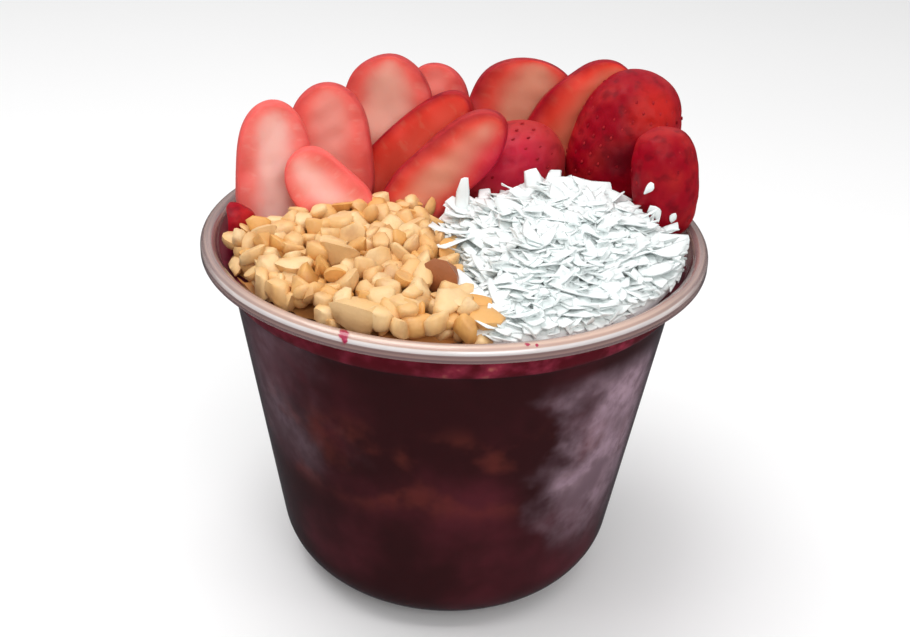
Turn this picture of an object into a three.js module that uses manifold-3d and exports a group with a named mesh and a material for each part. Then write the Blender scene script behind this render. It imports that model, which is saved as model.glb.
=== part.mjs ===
// Acai bowl: a clear deli cup filled to the brim with acai and topped with sliced strawberries,
// a heap of chopped peanuts and a heap of shredded coconut.
// Millimetres, +Z up, origin at the centre of the cup's base; the peanuts and coconut lie to the front, -Y.
import * as THREE from 'three';
import { ConvexGeometry } from 'three/addons/geometries/ConvexGeometry.js';
import { mergeVertices } from 'three/addons/utils/BufferGeometryUtils.js';
import Module from 'manifold-3d';

const wasm = await Module();
wasm.setup();

// Cup: the outside of a 117 mm deli cup with a rounded foot, a stacking step and a rolled lip
const RIM_RADIUS = 58.5;
const CUP_HEIGHT = 88;
const WALL = 0.8;
const FOOT_FLAT_RADIUS = 25.4;
const FOOT_ROUND = 16.2;
const DRAFT = THREE.MathUtils.degToRad(9.2);
const STEP_Z = 77.8;
const STEP_OUT = 1.7;
const STEP_RISE = 0.7;
const COLLAR_TOP_Z = 84.4;
const COLLAR_TOP_RADIUS = 54.5;
const LIP_RADIUS = 1.8;
const SKIRT_Z = 84.9;
const CUP_SIDES = 40;
const FOOT_STEPS = 5;
const LIP_STEPS = 4;

// Food: clearance between neighbours, and the level of the acai at the wall and in the middle
const GAP = 0.3;
const ACAI_EDGE_Z = 84.4;
const ACAI_MIDDLE_Z = 80.5;
const ACAI_RINGS = 4;

// Strawberry: where its widest ring is along its length, and how blunt its tip and shoulder are
const BERRY_WIDEST = 0.36;
const BERRY_TIP_POWER = 3.2;
const BERRY_SHOULDER = 1.12;
const BERRY_SIDES = 16;
const BERRY_RINGS = 8;

// Heaps: where each one peaks and how high its core stands; the straight edges that bound it in plan, each
// by the direction it faces in degrees and its distance from the cup's axis; and how far apart and how high
// above the core its pieces are centred
const HEAP_RADIUS = 52.6;
const HEAP_SIDES = 30;
const HEAP_RINGS = 4;
const PEANUT_HEAP = {
  peak: new THREE.Vector2(-21, -9),
  peakZ: 88.8,
  edgeZ: 86.4,
  edges: [
    { facing: 12, offset: -4.6 },
    { facing: 90, offset: 9 },
    { facing: 135, offset: 26.5 },
  ],
  spacing: 6.8,
  lift: [0.4, 2.4],
};
const COCONUT_HEAP = {
  peak: new THREE.Vector2(24, 5),
  peakZ: 95.4,
  edgeZ: 85.8,
  edges: [
    { facing: 192, offset: 3.6 },
    { facing: 64, offset: 18 },
    { facing: 120, offset: 3 },
  ],
  spacing: 7,
  lift: [0.4, 2.4],
};
const PEANUT_SIZE = [5.4, 9];
const PEANUT_BREADTH = [0.7, 0.95];
const PEANUT_DEPTH = [0.5, 0.8];
const PEANUT_CORNERS = 9;
const PEANUT_CORNER_REACH = [0.42, 0.56];
const PEANUT_CORNER_SHIFT = [-0.5, 0.5];
const SHRED_LENGTH = [8, 14];
const SHRED_WIDTH = [2.2, 3.2];
const SHRED_THICKNESS = 0.9;
const SHRED_CURL = [0.4, 2.4];
const SHRED_TIPPING = 0.7;
const SHRED_STEPS = 2;
const GRID_SHIFT = [-0.22, 0.22];
const MOVES = [0, 0.05, 0.1, 0.15, 0.2, 0.3];
const MOVE_RISE = 7;
const SEED = 7;

const GOLDEN_ANGLE = Math.PI * (3 - Math.sqrt(5));
const WELD = 1e-4;

// Strawberry pieces, left to right. at: the centre. size: the whole berry's length and width.
// slab: the two cut planes across its thickness, measured from the berry's axis towards the back.
// pose: turn about Z, tilt about X and lean about Y, in degrees.
const STRAWBERRIES = [
  { name: 'slice_far_left_low', at: [-49.7, -2.6, 86.6], size: [13, 11], slab: [-1.7, 1.7], pose: [86, -8, 0] },
  { name: 'slice_far_left', at: [-43.4, 9.8, 96.2], size: [34, 18.6], slab: [-3, 3], pose: [12, -10, 2] },
  { name: 'slice_left_front', at: [-29.6, 3.6, 93.4], size: [25.5, 15.6], slab: [-2.4, 2.4], pose: [4, -12, -42] },
  { name: 'slice_left', at: [-30.6, 18.5, 97.6], size: [35, 20.4], slab: [-3, 3], pose: [2, -12, -4] },
  { name: 'slice_tall', at: [-18.4, 30.6, 98.4], size: [41, 25], slab: [-3, 3], pose: [0, -12, 3] },
  { name: 'slice_back', at: [-7.2, 45.2, 96.8], size: [32, 20], slab: [-2.5, 2.5], pose: [0, -12, 4] },
  { name: 'slice_lean_back', at: [-10.8, 23.7, 97.4], size: [38, 16], slab: [-2.4, 2.4], pose: [-4, -12, 43] },
  { name: 'slice_lean_front', at: [-2.7, 13, 97.3], size: [37, 16], slab: [-2.6, 2.6], pose: [0, -12, 45] },
  { name: 'half_middle', at: [13.6, 20.5, 94.2], size: [28.8, 23], slab: [-10.5, -1.2], pose: [6, -14, 58] },
  { name: 'slice_wide', at: [15.8, 39.2, 98.2], size: [37, 31], slab: [-3, 3], pose: [0, -12, 10] },
  { name: 'slice_lean_right', at: [29.2, 33, 100.8], size: [40, 23], slab: [-2.6, 2.6], pose: [0, -12, 34] },
  { name: 'half_right', at: [41.3, 23.7, 102], size: [35, 27.2], slab: [-11, -2], pose: [0, -12, 18] },
  { name: 'half_far_right', at: [49.4, 4, 98.4], size: [27, 17], slab: [-7, 0], pose: [20, -8, 175] },
];

// Colours and finishes
const CLEAR_PLASTIC = finish('#e8e4e6', 0.08);
const ACAI_PURPLE = finish('#4a1a24', 0.5);
const STRAWBERRY_RED = finish('#c9353a', 0.35);
const PEANUT_TAN = finish('#e3b779', 0.6);
const COCONUT_WHITE = finish('#f2f2ee', 0.7);

function finish(color, roughness) {
  return new THREE.MeshStandardMaterial({ color, roughness, metalness: 0 });
}

// A closed geometry as a manifold solid: vertices welded, triangles that weld to a line dropped.
function solid(geometry) {
  geometry.deleteAttribute('normal');
  geometry.deleteAttribute('uv');
  const welded = mergeVertices(geometry, WELD);
  const corners = Array.from(welded.index.array);
  const kept = [];
  for (let i = 0; i < corners.length; i += 3) {
    const [a, b, c] = corners.slice(i, i + 3);
    if (a !== b && b !== c && c !== a) kept.push(a, b, c);
  }
  const vertProperties = Float32Array.from(welded.attributes.position.array);
  return new wasm.Manifold(new wasm.Mesh({ numProp: 3, vertProperties, triVerts: Uint32Array.from(kept) }));
}

// The named mesh of a solid's largest closed body, so that scraps and sealed hollows are left behind.
function mesh(name, body, material) {
  const largest = body.decompose().sort((a, b) => b.volume() - a.volume())[0];
  const { vertProperties, triVerts } = largest.getMesh();
  const geometry = new THREE.BufferGeometry();
  geometry.setAttribute('position', new THREE.Float32BufferAttribute(vertProperties, 3));
  geometry.setIndex(Array.from(triVerts));
  const part = new THREE.Mesh(geometry, material);
  part.name = name;
  return part;
}

function joined(bodies) {
  return bodies.reduce((all, next) => all.add(next));
}

// Surface of revolution about Z of a profile of (radius, height) points.
function revolve(profile, sides) {
  return new THREE.LatheGeometry(profile, sides).rotateX(Math.PI / 2);
}

function point(radius, height) {
  return new THREE.Vector2(radius, height);
}

// Points along an arc from one angle to another, both ends included.
function arc(centre, radius, from, to, steps) {
  return Array.from({ length: steps + 1 }, (_, i) => {
    const angle = from + (to - from) * i / steps;
    return point(centre.x + radius * Math.cos(angle), centre.y + radius * Math.sin(angle));
  });
}

// Middle line of the cup's wall, from the axis out along the base, up the side and over the lip.
function wallLine() {
  const half = WALL / 2;
  const foot = arc(point(FOOT_FLAT_RADIUS, FOOT_ROUND), FOOT_ROUND - half, -Math.PI / 2, -DRAFT, FOOT_STEPS);
  const footTop = foot[foot.length - 1];
  const stepRadius = footTop.x + (STEP_Z - footTop.y) * Math.tan(DRAFT);
  const lipCentre = point(RIM_RADIUS - LIP_RADIUS, CUP_HEIGHT - LIP_RADIUS);
  return [
    point(0, half),
    ...foot,
    point(stepRadius, STEP_Z),
    point(stepRadius + STEP_OUT, STEP_Z + STEP_RISE),
    point(COLLAR_TOP_RADIUS - half, COLLAR_TOP_Z),
    ...arc(lipCentre, LIP_RADIUS - half, Math.PI, 0, LIP_STEPS),
    point(RIM_RADIUS - half, SKIRT_Z),
  ];
}

// A line of points moved sideways: positive is to the right of its direction, the outside of the cup.
function offset(line, distance) {
  return line.map((here, i) => {
    const before = line[Math.max(i - 1, 0)];
    const after = line[Math.min(i + 1, line.length - 1)];
    const into = (i === 0 ? after.clone().sub(here) : here.clone().sub(before)).normalize();
    const out = (i === line.length - 1 ? into.clone() : after.clone().sub(here)).normalize();
    const way = into.clone().add(out).normalize();
    const mitre = distance / way.dot(into);
    return point(Math.max(here.x + way.y * mitre, 0), here.y - way.x * mitre);
  });
}

function cupSolid() {
  const line = wallLine();
  const outside = offset(line, WALL / 2);
  const inside = offset(line, -WALL / 2);
  return solid(revolve([...outside, ...inside.reverse()], CUP_SIDES));
}

// Height of the acai's top, dished from the wall to the middle.
function acaiTop(radius) {
  return ACAI_MIDDLE_Z + (ACAI_EDGE_Z - ACAI_MIDDLE_Z) * (radius / COLLAR_TOP_RADIUS) ** 2;
}

// The acai fills the cup up to its dished top.
function acaiSolid() {
  const side = offset(wallLine(), -WALL / 2 - GAP).filter(({ y }) => y < ACAI_EDGE_Z - GAP);
  const edge = side[side.length - 1].x;
  const top = Array.from({ length: ACAI_RINGS + 1 }, (_, i) => {
    const radius = edge * (1 - i / ACAI_RINGS);
    return point(radius, acaiTop(radius));
  });
  return solid(revolve([...side, ...top], CUP_SIDES));
}

// Half width of a strawberry at a share of its length from shoulder to tip, where the widest ring is 1.
function berryOutline(share) {
  if (share > BERRY_WIDEST) {
    return Math.sqrt(1 - ((share - BERRY_WIDEST) / (1 - BERRY_WIDEST)) ** BERRY_TIP_POWER);
  }
  const below = (BERRY_WIDEST - share) / (BERRY_WIDEST * BERRY_SHOULDER);
  return Math.sqrt(1 - below * below);
}

// One piece of strawberry: a whole berry, tip up, cut by two parallel planes and set in its place.
function strawberrySolid({ at, size, slab, pose }, grow = 0) {
  const length = size[0] + 2 * grow;
  const radius = size[1] / 2 + grow;
  const [front, back] = [slab[0] - grow, slab[1] + grow];
  const profile = [point(0, -length / 2)];
  for (let i = 0; i <= BERRY_RINGS; i += 1) {
    const share = (1 - Math.cos(Math.PI * i / BERRY_RINGS)) / 2;
    profile.push(point(radius * berryOutline(share), length * (share - 0.5)));
  }
  const berry = solid(revolve(profile, BERRY_SIDES));
  const block = new THREE.BoxGeometry(2 * length, back - front, 2 * length);
  const cut = solid(block.translate(0, (front + back) / 2, 0));
  const [turn, tilt, lean] = pose.map(THREE.MathUtils.degToRad);
  const place = new THREE.Matrix4()
    .makeRotationFromEuler(new THREE.Euler(tilt, lean, turn, 'ZXY'))
    .setPosition(...at)
    .multiply(new THREE.Matrix4().makeTranslation(0, -(slab[0] + slab[1]) / 2, 0));
  return berry.intersect(cut).transform(place.elements);
}

// Plan distance from a heap's peak to its edge in one direction,
// the nearest of the cup and its straight edges.
function heapReach({ peak, edges }, angle) {
  const way = point(Math.cos(angle), Math.sin(angle));
  const along = peak.dot(way);
  const wall = Math.sqrt(along * along + HEAP_RADIUS ** 2 - peak.lengthSq()) - along;
  const straight = edges.map(({ facing, offset: distance }) => {
    const normal = point(1, 0).rotateAround(point(0, 0), THREE.MathUtils.degToRad(facing));
    const closing = way.dot(normal);
    return closing > 0 ? (distance - peak.dot(normal)) / closing : Infinity;
  });
  return Math.min(wall, ...straight);
}

// Height of a heap's core at a share of the way from its peak to its edge.
function heapTop({ peakZ, edgeZ }, share) {
  return edgeZ + (peakZ - edgeZ) * (1 - share * share);
}

// Core of a heap: a disc stretched to the heap's edge, domed on top and lying on the acai below.
function heapCore(heap) {
  const shares = Array.from({ length: HEAP_RINGS + 1 }, (_, i) => i / HEAP_RINGS);
  const underside = shares.map((share) => point(share, 0));
  const topside = shares.map((share) => point(share, 1)).reverse();
  const disc = revolve([...underside, ...topside], HEAP_SIDES);
  const spots = disc.attributes.position;
  for (let i = 0; i < spots.count; i += 1) {
    const share = Math.hypot(spots.getX(i), spots.getY(i));
    const angle = Math.atan2(spots.getY(i), spots.getX(i));
    const reach = share * heapReach(heap, angle);
    const x = heap.peak.x + reach * Math.cos(angle);
    const y = heap.peak.y + reach * Math.sin(angle);
    const onTop = spots.getZ(i) > 0.5;
    spots.setXYZ(i, x, y, onTop ? heapTop(heap, share) : acaiTop(Math.hypot(x, y)) + GAP);
  }
  return solid(disc);
}

// A seeded draw between two limits.
function draw([low, high]) {
  return THREE.MathUtils.lerp(low, high, THREE.MathUtils.seededRandom());
}

function randomTurn(tipping) {
  const flat = [-Math.PI, Math.PI];
  return new THREE.Euler(draw([-tipping, tipping]), draw([-tipping, tipping]), draw(flat), 'ZXY');
}

// A chopped peanut: the hull of a few corners spread over an uneven ball.
function peanutChunk() {
  const size = draw(PEANUT_SIZE);
  const scale = new THREE.Vector3(size, size * draw(PEANUT_BREADTH), size * draw(PEANUT_DEPTH));
  const corners = Array.from({ length: PEANUT_CORNERS }, (_, i) => {
    const height = 1 - 2 * (i + 0.5) / PEANUT_CORNERS;
    const ring = Math.sqrt(1 - height * height);
    const angle = GOLDEN_ANGLE * i + draw(PEANUT_CORNER_SHIFT);
    return new THREE.Vector3(ring * Math.cos(angle), ring * Math.sin(angle), height)
      .multiplyScalar(draw(PEANUT_CORNER_REACH))
      .multiply(scale);
  });
  const turn = randomTurn(Math.PI);
  return (grow) => {
    const share = 1 + 2 * grow / size;
    return new ConvexGeometry(corners.map((corner) => corner.clone().multiplyScalar(share).applyEuler(turn)));
  };
}

// A shred of coconut: a flat strip, bent into a shallow curl.
function coconutShred() {
  const length = draw(SHRED_LENGTH);
  const width = draw(SHRED_WIDTH);
  const curl = draw(SHRED_CURL);
  const turn = randomTurn(SHRED_TIPPING);
  return (grow) => {
    const strip = new THREE.BoxGeometry(
      length + 2 * grow, width + 2 * grow, SHRED_THICKNESS + 2 * grow, SHRED_STEPS, 1, 1);
    const spots = strip.attributes.position;
    for (let i = 0; i < spots.count; i += 1) {
      const share = 2 * spots.getX(i) / length;
      spots.setZ(i, spots.getZ(i) - curl * share * share);
    }
    return strip.applyMatrix4(new THREE.Matrix4().makeRotationFromEuler(turn));
  };
}

// Plan points spread evenly over a heap: a triangular grid, each point shifted a little by a seeded draw.
function heapSpots(heap) {
  const { spacing } = heap;
  const spots = [];
  const rowGap = spacing * Math.sqrt(3) / 2;
  const rows = Math.ceil(HEAP_RADIUS / rowGap);
  for (let row = -rows; row <= rows; row += 1) {
    for (let column = -rows; column <= rows; column += 1) {
      const spot = point((column + Math.abs(row % 2) / 2) * spacing, row * rowGap);
      spot.add(point(draw(GRID_SHIFT), draw(GRID_SHIFT)).multiplyScalar(spacing));
      if (heapShare(heap, spot) < 1) spots.push(spot);
    }
  }
  return spots;
}

// Share of the way from a heap's peak to its edge at a plan point.
function heapShare(heap, spot) {
  const away = spot.clone().sub(heap.peak);
  return away.length() / heapReach(heap, away.angle());
}

// A heap of small pieces: the core, cut clear of what stands in it, with pieces fused on evenly.
// A piece that would meet an obstacle is moved up and towards the peak, and skipped if that doesn't clear it.
function heapSolid(heap, makePiece, obstacles, sockets) {
  let body = heapCore(heap).subtract(sockets);
  for (const spot of heapSpots(heap)) {
    const piece = makePiece();
    const rise = draw(heap.lift);
    for (const move of MOVES) {
      const { x, y } = spot.clone().lerp(heap.peak, move);
      const place = [x, y, heapTop(heap, heapShare(heap, point(x, y))) + rise + move * MOVE_RISE];
      if (solid(piece(GAP).translate(...place)).intersect(obstacles).isEmpty()) {
        body = body.add(solid(piece(0).translate(...place)));
        break;
      }
    }
  }
  return body;
}

function bowl() {
  THREE.MathUtils.seededRandom(SEED);
  const group = new THREE.Group();
  const cup = cupSolid();
  const pieces = STRAWBERRIES.map((piece) => strawberrySolid(piece));
  const sockets = joined(STRAWBERRIES.map((piece) => strawberrySolid(piece, GAP)));
  const acai = acaiSolid().subtract(sockets);
  const standing = joined([cup, acai, ...pieces]);
  const peanuts = heapSolid(PEANUT_HEAP, peanutChunk, standing.add(heapCore(COCONUT_HEAP)), sockets);
  const coconut = heapSolid(COCONUT_HEAP, coconutShred, standing.add(peanuts), sockets);
  group.add(mesh('cup', cup, CLEAR_PLASTIC));
  group.add(mesh('acai', acai, ACAI_PURPLE));
  group.add(mesh('peanuts', peanuts, PEANUT_TAN));
  group.add(mesh('coconut', coconut, COCONUT_WHITE));
  STRAWBERRIES.forEach(({ name }, i) => group.add(mesh(name, pieces[i], STRAWBERRY_RED)));
  return group;
}

export default bowl();
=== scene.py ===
"""Acai bowl: a clear cup of acai under sliced strawberries, chopped peanuts and shredded coconut.

Metres, +Z up, the origin at the centre of the cup's base. The heaps of peanuts and coconut lie to the
front, -Y.
"""

import math
from typing import NamedTuple

import bpy
import numpy as np
from bpy.props import FloatProperty, FloatVectorProperty, IntProperty, PointerProperty
from mathutils import Matrix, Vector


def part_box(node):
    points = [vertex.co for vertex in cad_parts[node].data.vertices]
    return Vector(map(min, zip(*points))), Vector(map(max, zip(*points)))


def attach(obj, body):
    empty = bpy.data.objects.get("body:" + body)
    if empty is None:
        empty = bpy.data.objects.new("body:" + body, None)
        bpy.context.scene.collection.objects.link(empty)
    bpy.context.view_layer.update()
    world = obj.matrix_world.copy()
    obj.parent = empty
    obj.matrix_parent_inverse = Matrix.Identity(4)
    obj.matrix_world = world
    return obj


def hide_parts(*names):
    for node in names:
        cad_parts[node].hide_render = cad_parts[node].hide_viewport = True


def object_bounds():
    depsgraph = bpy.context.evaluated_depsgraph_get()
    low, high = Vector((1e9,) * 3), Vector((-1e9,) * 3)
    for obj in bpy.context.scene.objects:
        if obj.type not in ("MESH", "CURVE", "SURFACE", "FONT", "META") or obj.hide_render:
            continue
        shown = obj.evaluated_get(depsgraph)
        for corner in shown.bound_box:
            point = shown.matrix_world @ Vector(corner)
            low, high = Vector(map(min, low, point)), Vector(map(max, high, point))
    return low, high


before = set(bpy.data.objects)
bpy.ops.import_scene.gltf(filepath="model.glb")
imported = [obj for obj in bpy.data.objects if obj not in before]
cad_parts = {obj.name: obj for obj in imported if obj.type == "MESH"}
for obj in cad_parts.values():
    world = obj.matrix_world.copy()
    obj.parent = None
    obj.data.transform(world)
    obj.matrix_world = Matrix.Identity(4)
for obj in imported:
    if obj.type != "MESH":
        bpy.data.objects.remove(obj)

bl_info = {
    "name": "Acai bowl",
    "version": (1, 0, 0),
    "blender": (4, 5, 0),
    "location": "3D View > Sidebar > Acai bowl",
    "description": "Builds a cup of acai with strawberries, peanuts and coconut around the packed solids",
    "category": "Add Mesh",
}

MM = 0.001
TURN = 2 * math.pi
GOLDEN_ANGLE = math.pi * (3 - math.sqrt(5))
BODY = "root"
CAD_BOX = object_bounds()
CUP_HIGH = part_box("cup")[1]
PHOTO_WIDTH = 910
SKY_ABOVE = (1, 1, 1)
SKY_BELOW = (0.12, 0.11, 0.12)
FLOOR_REACH = 4.0
FLOOR_MOTTLE = 0.985

# Lamps, in metres: where each one stands, and its width and height
KEY_LAMP = ((-0.2, 0.05, 0.8), (0.5, 0.5))
FILL_LAMP = ((0.25, -0.75, 0.55), (0.5, 0.5))
STRIP_LAMP = ((0, -0.3, 0.9), (0.9, 0.06))

# Unevenness of any surface: how many sines are added up
RIPPLE_WAVES = 14

# Cup: details of its outline that no setting changes
STEP_RISE = 0.7 * MM
STEP_FILLET = 1.2 * MM
SKIRT_DROP = 3.1 * MM
FOOT_STEPS = 24
FILLET_STEPS = 5
FILLET_SHARE = 0.45
LIP_STEPS = 20
END_STEPS = 6
CUP_COLUMNS = 192

# Strawberry: where its widest ring is along its length, how blunt its tip, shoulder and cut edges are, where
# its seeds lie and how far round them its skin dips, how far a half bulges, and the lengths of its waves
BERRY_WIDEST = 0.36
BERRY_TIP_POWER = 3.2
BERRY_SHOULDER = 1.12
SHOULDER_ROUND = 0.07
BERRY_RINGS = 88
BERRY_COLUMNS = 120
BERRY_EDGE = 13
SEED_SPACING = 3.3 * MM
SEED_MARGIN = 0.5 * MM
SEED_LAST = 0.985
DIMPLE_REACH = 0.95 * MM
HALF_BULGE = 4 * MM
BROAD_WAVE, FINE_WAVE, SIDE_WAVE = 13 * MM, 5 * MM, 17 * MM
FINE_SHARE = 0.4
BERRY_LEAST = 0.2 * MM
BERRY_SEED, BERRY_SEED_STEP = 100, 10
CUT_SAMPLES = 4001
SPIRAL_SAMPLES = 2001

# Strawberry pieces, left to right, in millimetres and degrees: the node that the piece stands for; its
# centre; the whole berry's length and width; the two cut planes across its thickness, measured from the
# berry's axis towards the back; turn about Z, tilt about X and lean about Y; how ripe it is, from 0, pale, to
# 1, dark; and how strongly the pale core shows in its cut face.
STRAWBERRIES = (
    ("slice_far_left_low", (-49.7, -2.6, 86.6), (13, 11), (-3.4, 0), (86, -8, 0), 1.0, 0.0),
    ("slice_far_left", (-43.4, 9.8, 96.2), (34, 18.6), (-3, 3), (12, -10, 2), 0.1, 0.9),
    ("slice_left_front", (-29.6, 3.6, 93.4), (25.5, 15.6), (-2.4, 2.4), (4, -12, -42), 0.0, 0.7),
    ("slice_left", (-30.6, 18.5, 97.6), (35, 20.4), (-3, 3), (2, -12, -4), 0.42, 0.55),
    ("slice_tall", (-18.4, 30.6, 98.4), (41, 25), (-3, 3), (0, -12, 3), 0.6, 1.0),
    ("slice_back", (-7.2, 45.2, 96.8), (32, 20), (-2.5, 2.5), (0, -12, 4), 0.5, 0.25),
    ("slice_lean_back", (-10.8, 23.7, 97.4), (38, 16), (-2.4, 2.4), (-4, -12, 43), 0.97, 0.15),
    ("slice_lean_front", (-2.7, 13, 97.3), (37, 16), (-2.6, 2.6), (0, -12, 45), 0.85, 0.95),
    ("half_middle", (13.6, 20.5, 94.2), (28.8, 23), (-10.5, -1.2), (6, -14, 58), 0.75, 0.0),
    ("slice_wide", (15.8, 39.2, 98.2), (37, 31), (-3, 3), (0, -12, 10), 0.9, 1.0),
    ("slice_lean_right", (29.2, 33, 100.8), (40, 23), (-2.6, 2.6), (0, -12, 34), 1.0, 0.65),
    ("half_right", (41.3, 23.7, 102), (35, 27.2), (-11, -2), (0, -12, 18), 1.0, 0.0),
    ("half_far_right", (49.4, 4, 98.4), (27, 17), (-7, 0), (20, -8, 175), 1.0, 0.0),
)

# Patches on the strawberries, in millimetres: middle; half sizes; colour; strength. The first is a painted
# highlight on the right half, the second a painted shadow where the right halves overhang, and the third the
# deeper crimson of the middle half
BERRY_LIGHT_AND_TONE_PATCHES = (
    # Painted highlight
    ((46.8, 20, 110.6), (9, 12, 8), (208, 44, 34), 0.65),
    # Painted shadow
    ((39, 13, 100), (12, 12, 7), (98, 4, 20), 0.75),
    ((13, 14, 98), (17, 15, 13), (198, 24, 62), 0.7),
)

# Heaps: how far they reach, how finely they are made and how uneven they are, and the wall about them with
# the row of pieces along it, whose shift in and out and whose lift are drawn in millimetres. For each heap,
# where it peaks and how high its core stands, in metres, and the straight edges that bound it in plan, each
# by the direction it faces in degrees and its distance from the cup's axis.
HEAP_RADIUS = 52.6 * MM
HEAP_RINGS = 40
HEAP_COLUMNS = 96
HEAP_JITTER = 0.3
LUMP_LENGTH = 6 * MM
CORE_LEAST = 0.1 * MM
WALL_HEIGHTS = np.array((81.5, 86)) * MM
WALL_RADII = np.array((51.4, 53.8)) * MM
WALL_ROW_RADIUS = 49.2 * MM
WALL_ROW_Z = 87 * MM
WALL_ROW_SHIFTS = (-1, 1)
WALL_ROW_LIFTS = (-0.6, 0.8)
PEANUT_HEAP = {
    "peak": np.array((-21, -9)) * MM,
    "peak_z": 88.8 * MM,
    "edge_z": 86.4 * MM,
    "edges": ((12, -4.6 * MM), (90, 9 * MM), (135, 26.5 * MM)),
}
COCONUT_HEAP = {
    "peak": np.array((24, 5)) * MM,
    "peak_z": 95.4 * MM,
    "edge_z": 85.8 * MM,
    "edges": ((192, 3.6 * MM), (64, 18 * MM), (120, 3 * MM)),
}

# Chunks of peanut that stand out of the heap, in millimetres: the middle of each, its length, and its roast
LARGE_CHUNKS = (
    ((-24.5, -25.4, 91), 8.5, 0.35),
    ((-18.8, -47.2, 88.6), 9, 0.3),
    ((-11, -43.5, 89.2), 8, 0.2),
    ((-1.6, -33.5, 91), 6.5, 1.8),
    ((4.6, -43.5, 89.6), 6.5, 0.9),
    ((7.2, -47.6, 88.8), 6.5, 0.7),
)

# Flakes of coconut that stand out of the heap, in millimetres and degrees: middle; length and width; turn
# about Z, tilt about X and lean about Y. The last three stick to a strawberry.
LARGE_FLAKES = (
    ((1.4, 2, 92.5), (14, 3.4), (90, 0, -84)),
    ((25.5, 5.4, 97.6), (9, 3.6), (6, 46, 4)),
    ((31.5, 5.8, 96.8), (9, 3.4), (-6, 40, 16)),
    ((37, 5, 95), (8, 3.2), (4, 44, 24)),
    ((46.5, -18, 91.6), (9, 3.4), (20, 18, -4)),
    ((48, -12, 92.2), (9, 3.2), (-10, 24, 4)),
    ((44, -25, 90.8), (9, 3.4), (34, 15, 0)),
    ((18.2, 6, 96.4), (8, 4.4), (90, -8, -78)),
    ((-1, -13, 92.6), (10, 4.4), (170, 14, -4)),
    ((0.5, -17, 92), (9, 4.2), (205, 20, 6)),
    ((3, -36, 90.6), (12, 4), (-58, 10, 6)),
    ((10, -41, 90.6), (11, 4.8), (-70, -6, 10)),
    ((44, -0.9, 99.6), (3, 1.9), (90, 30, -84)),
    ((45.9, -2, 94.4), (3.6, 2.4), (90, -50, -84)),
    ((50, -1.6, 93), (2, 1.7), (90, 0, -84)),
)

# Lip: where the painted highlight, a white band, lies round its section and how softly it ends, as angles
# from level, and between which places from back to front the lip gets its painted warmer, paler tone, which
# stands in for the light there and for the nuts seen through it
LIP_HIGHLIGHT_TURN = (math.radians(11), math.radians(33), math.radians(7))
LIP_LIT_FRONT_Y = (-22 * MM, -50 * MM)

# Smears of acai on the lip, in millimetres: middle, and half sizes along X, Y and Z
LIP_SMEARS = (
    ((-21.1, -53.8, 87.8), (1.2, 2.6, 2)),
    ((14.9, -55.3, 87.6), (0.7, 0.6, 1)),
    ((15.2, -53.4, 88), (0.6, 0.5, 1)),
    ((16.8, -55.2, 87.6), (0.4, 0.4, 1)),
)


def srgb(red, green, blue):
    """A colour given in 0 to 255 display values, as the linear values that Blender holds."""
    shares = (value / 255 for value in (red, green, blue))
    return tuple(s / 12.92 if s <= 0.04045 else ((s + 0.055) / 1.055) ** 2.4 for s in shares)


def length(name, description, default):
    return FloatProperty(name=name, description=description, default=default, min=0, unit="LENGTH",
                         precision=5)


def colour(name, description, default):
    return FloatVectorProperty(name=name, description=description, default=default, size=3, min=0, max=1,
                               subtype="COLOR")


def power(name, description, default):
    return FloatProperty(name=name, description=description, default=default, min=0, unit="POWER")


class CupSettings(bpy.types.PropertyGroup):
    """Sizes and tint of the clear cup."""

    rim_radius: length("Rim radius", "Outside radius over the lip", CUP_HIGH.x)
    height: length("Height", "From the table to the top of the lip", CUP_HIGH.z)
    wall: length("Wall", "Thickness of the plastic", 0.8 * MM)
    foot_flat: length("Foot flat", "Radius of the flat base", 25.4 * MM)
    foot_round: length("Foot round", "Radius of the rounded foot", 16.2 * MM)
    draft: FloatProperty(name="Draft", description="Lean of the side", default=math.radians(9.2),
                         subtype="ANGLE")
    step_height: length("Step height", "Where the stacking step leaves the side", 77.8 * MM)
    step_out: length("Step out", "How far the stacking step stands out", 1.7 * MM)
    collar_height: length("Collar height", "Top of the collar over the step", 84.4 * MM)
    collar_radius: length("Collar radius", "Outside radius at the top of the collar", 54.5 * MM)
    lip_radius: length("Lip radius", "Outside radius of the rolled lip's section", 1.8 * MM)
    tint: colour("Tint", "Colour that the plastic gives to light", srgb(238, 230, 234))
    lip_tint: colour("Lip tint", "Colour of the thicker lip", srgb(202, 172, 160))
    # Painted light: paler, warmer tone of the lip's lit front and of the nuts seen through it, in streaky
    # rings
    lip_lit_front: colour("Lip streak", "Paler rings in the lip", srgb(248, 222, 204))
    lip_edge: colour("Lip edge", "Outer side of the lip", srgb(140, 118, 120))
    # Edge: painted shade, the dark colour given to plastic seen aslant, standing in for dark surroundings
    # seen through it
    edge: colour("Edge", "Plastic that is seen aslant", srgb(64, 54, 56))


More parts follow.
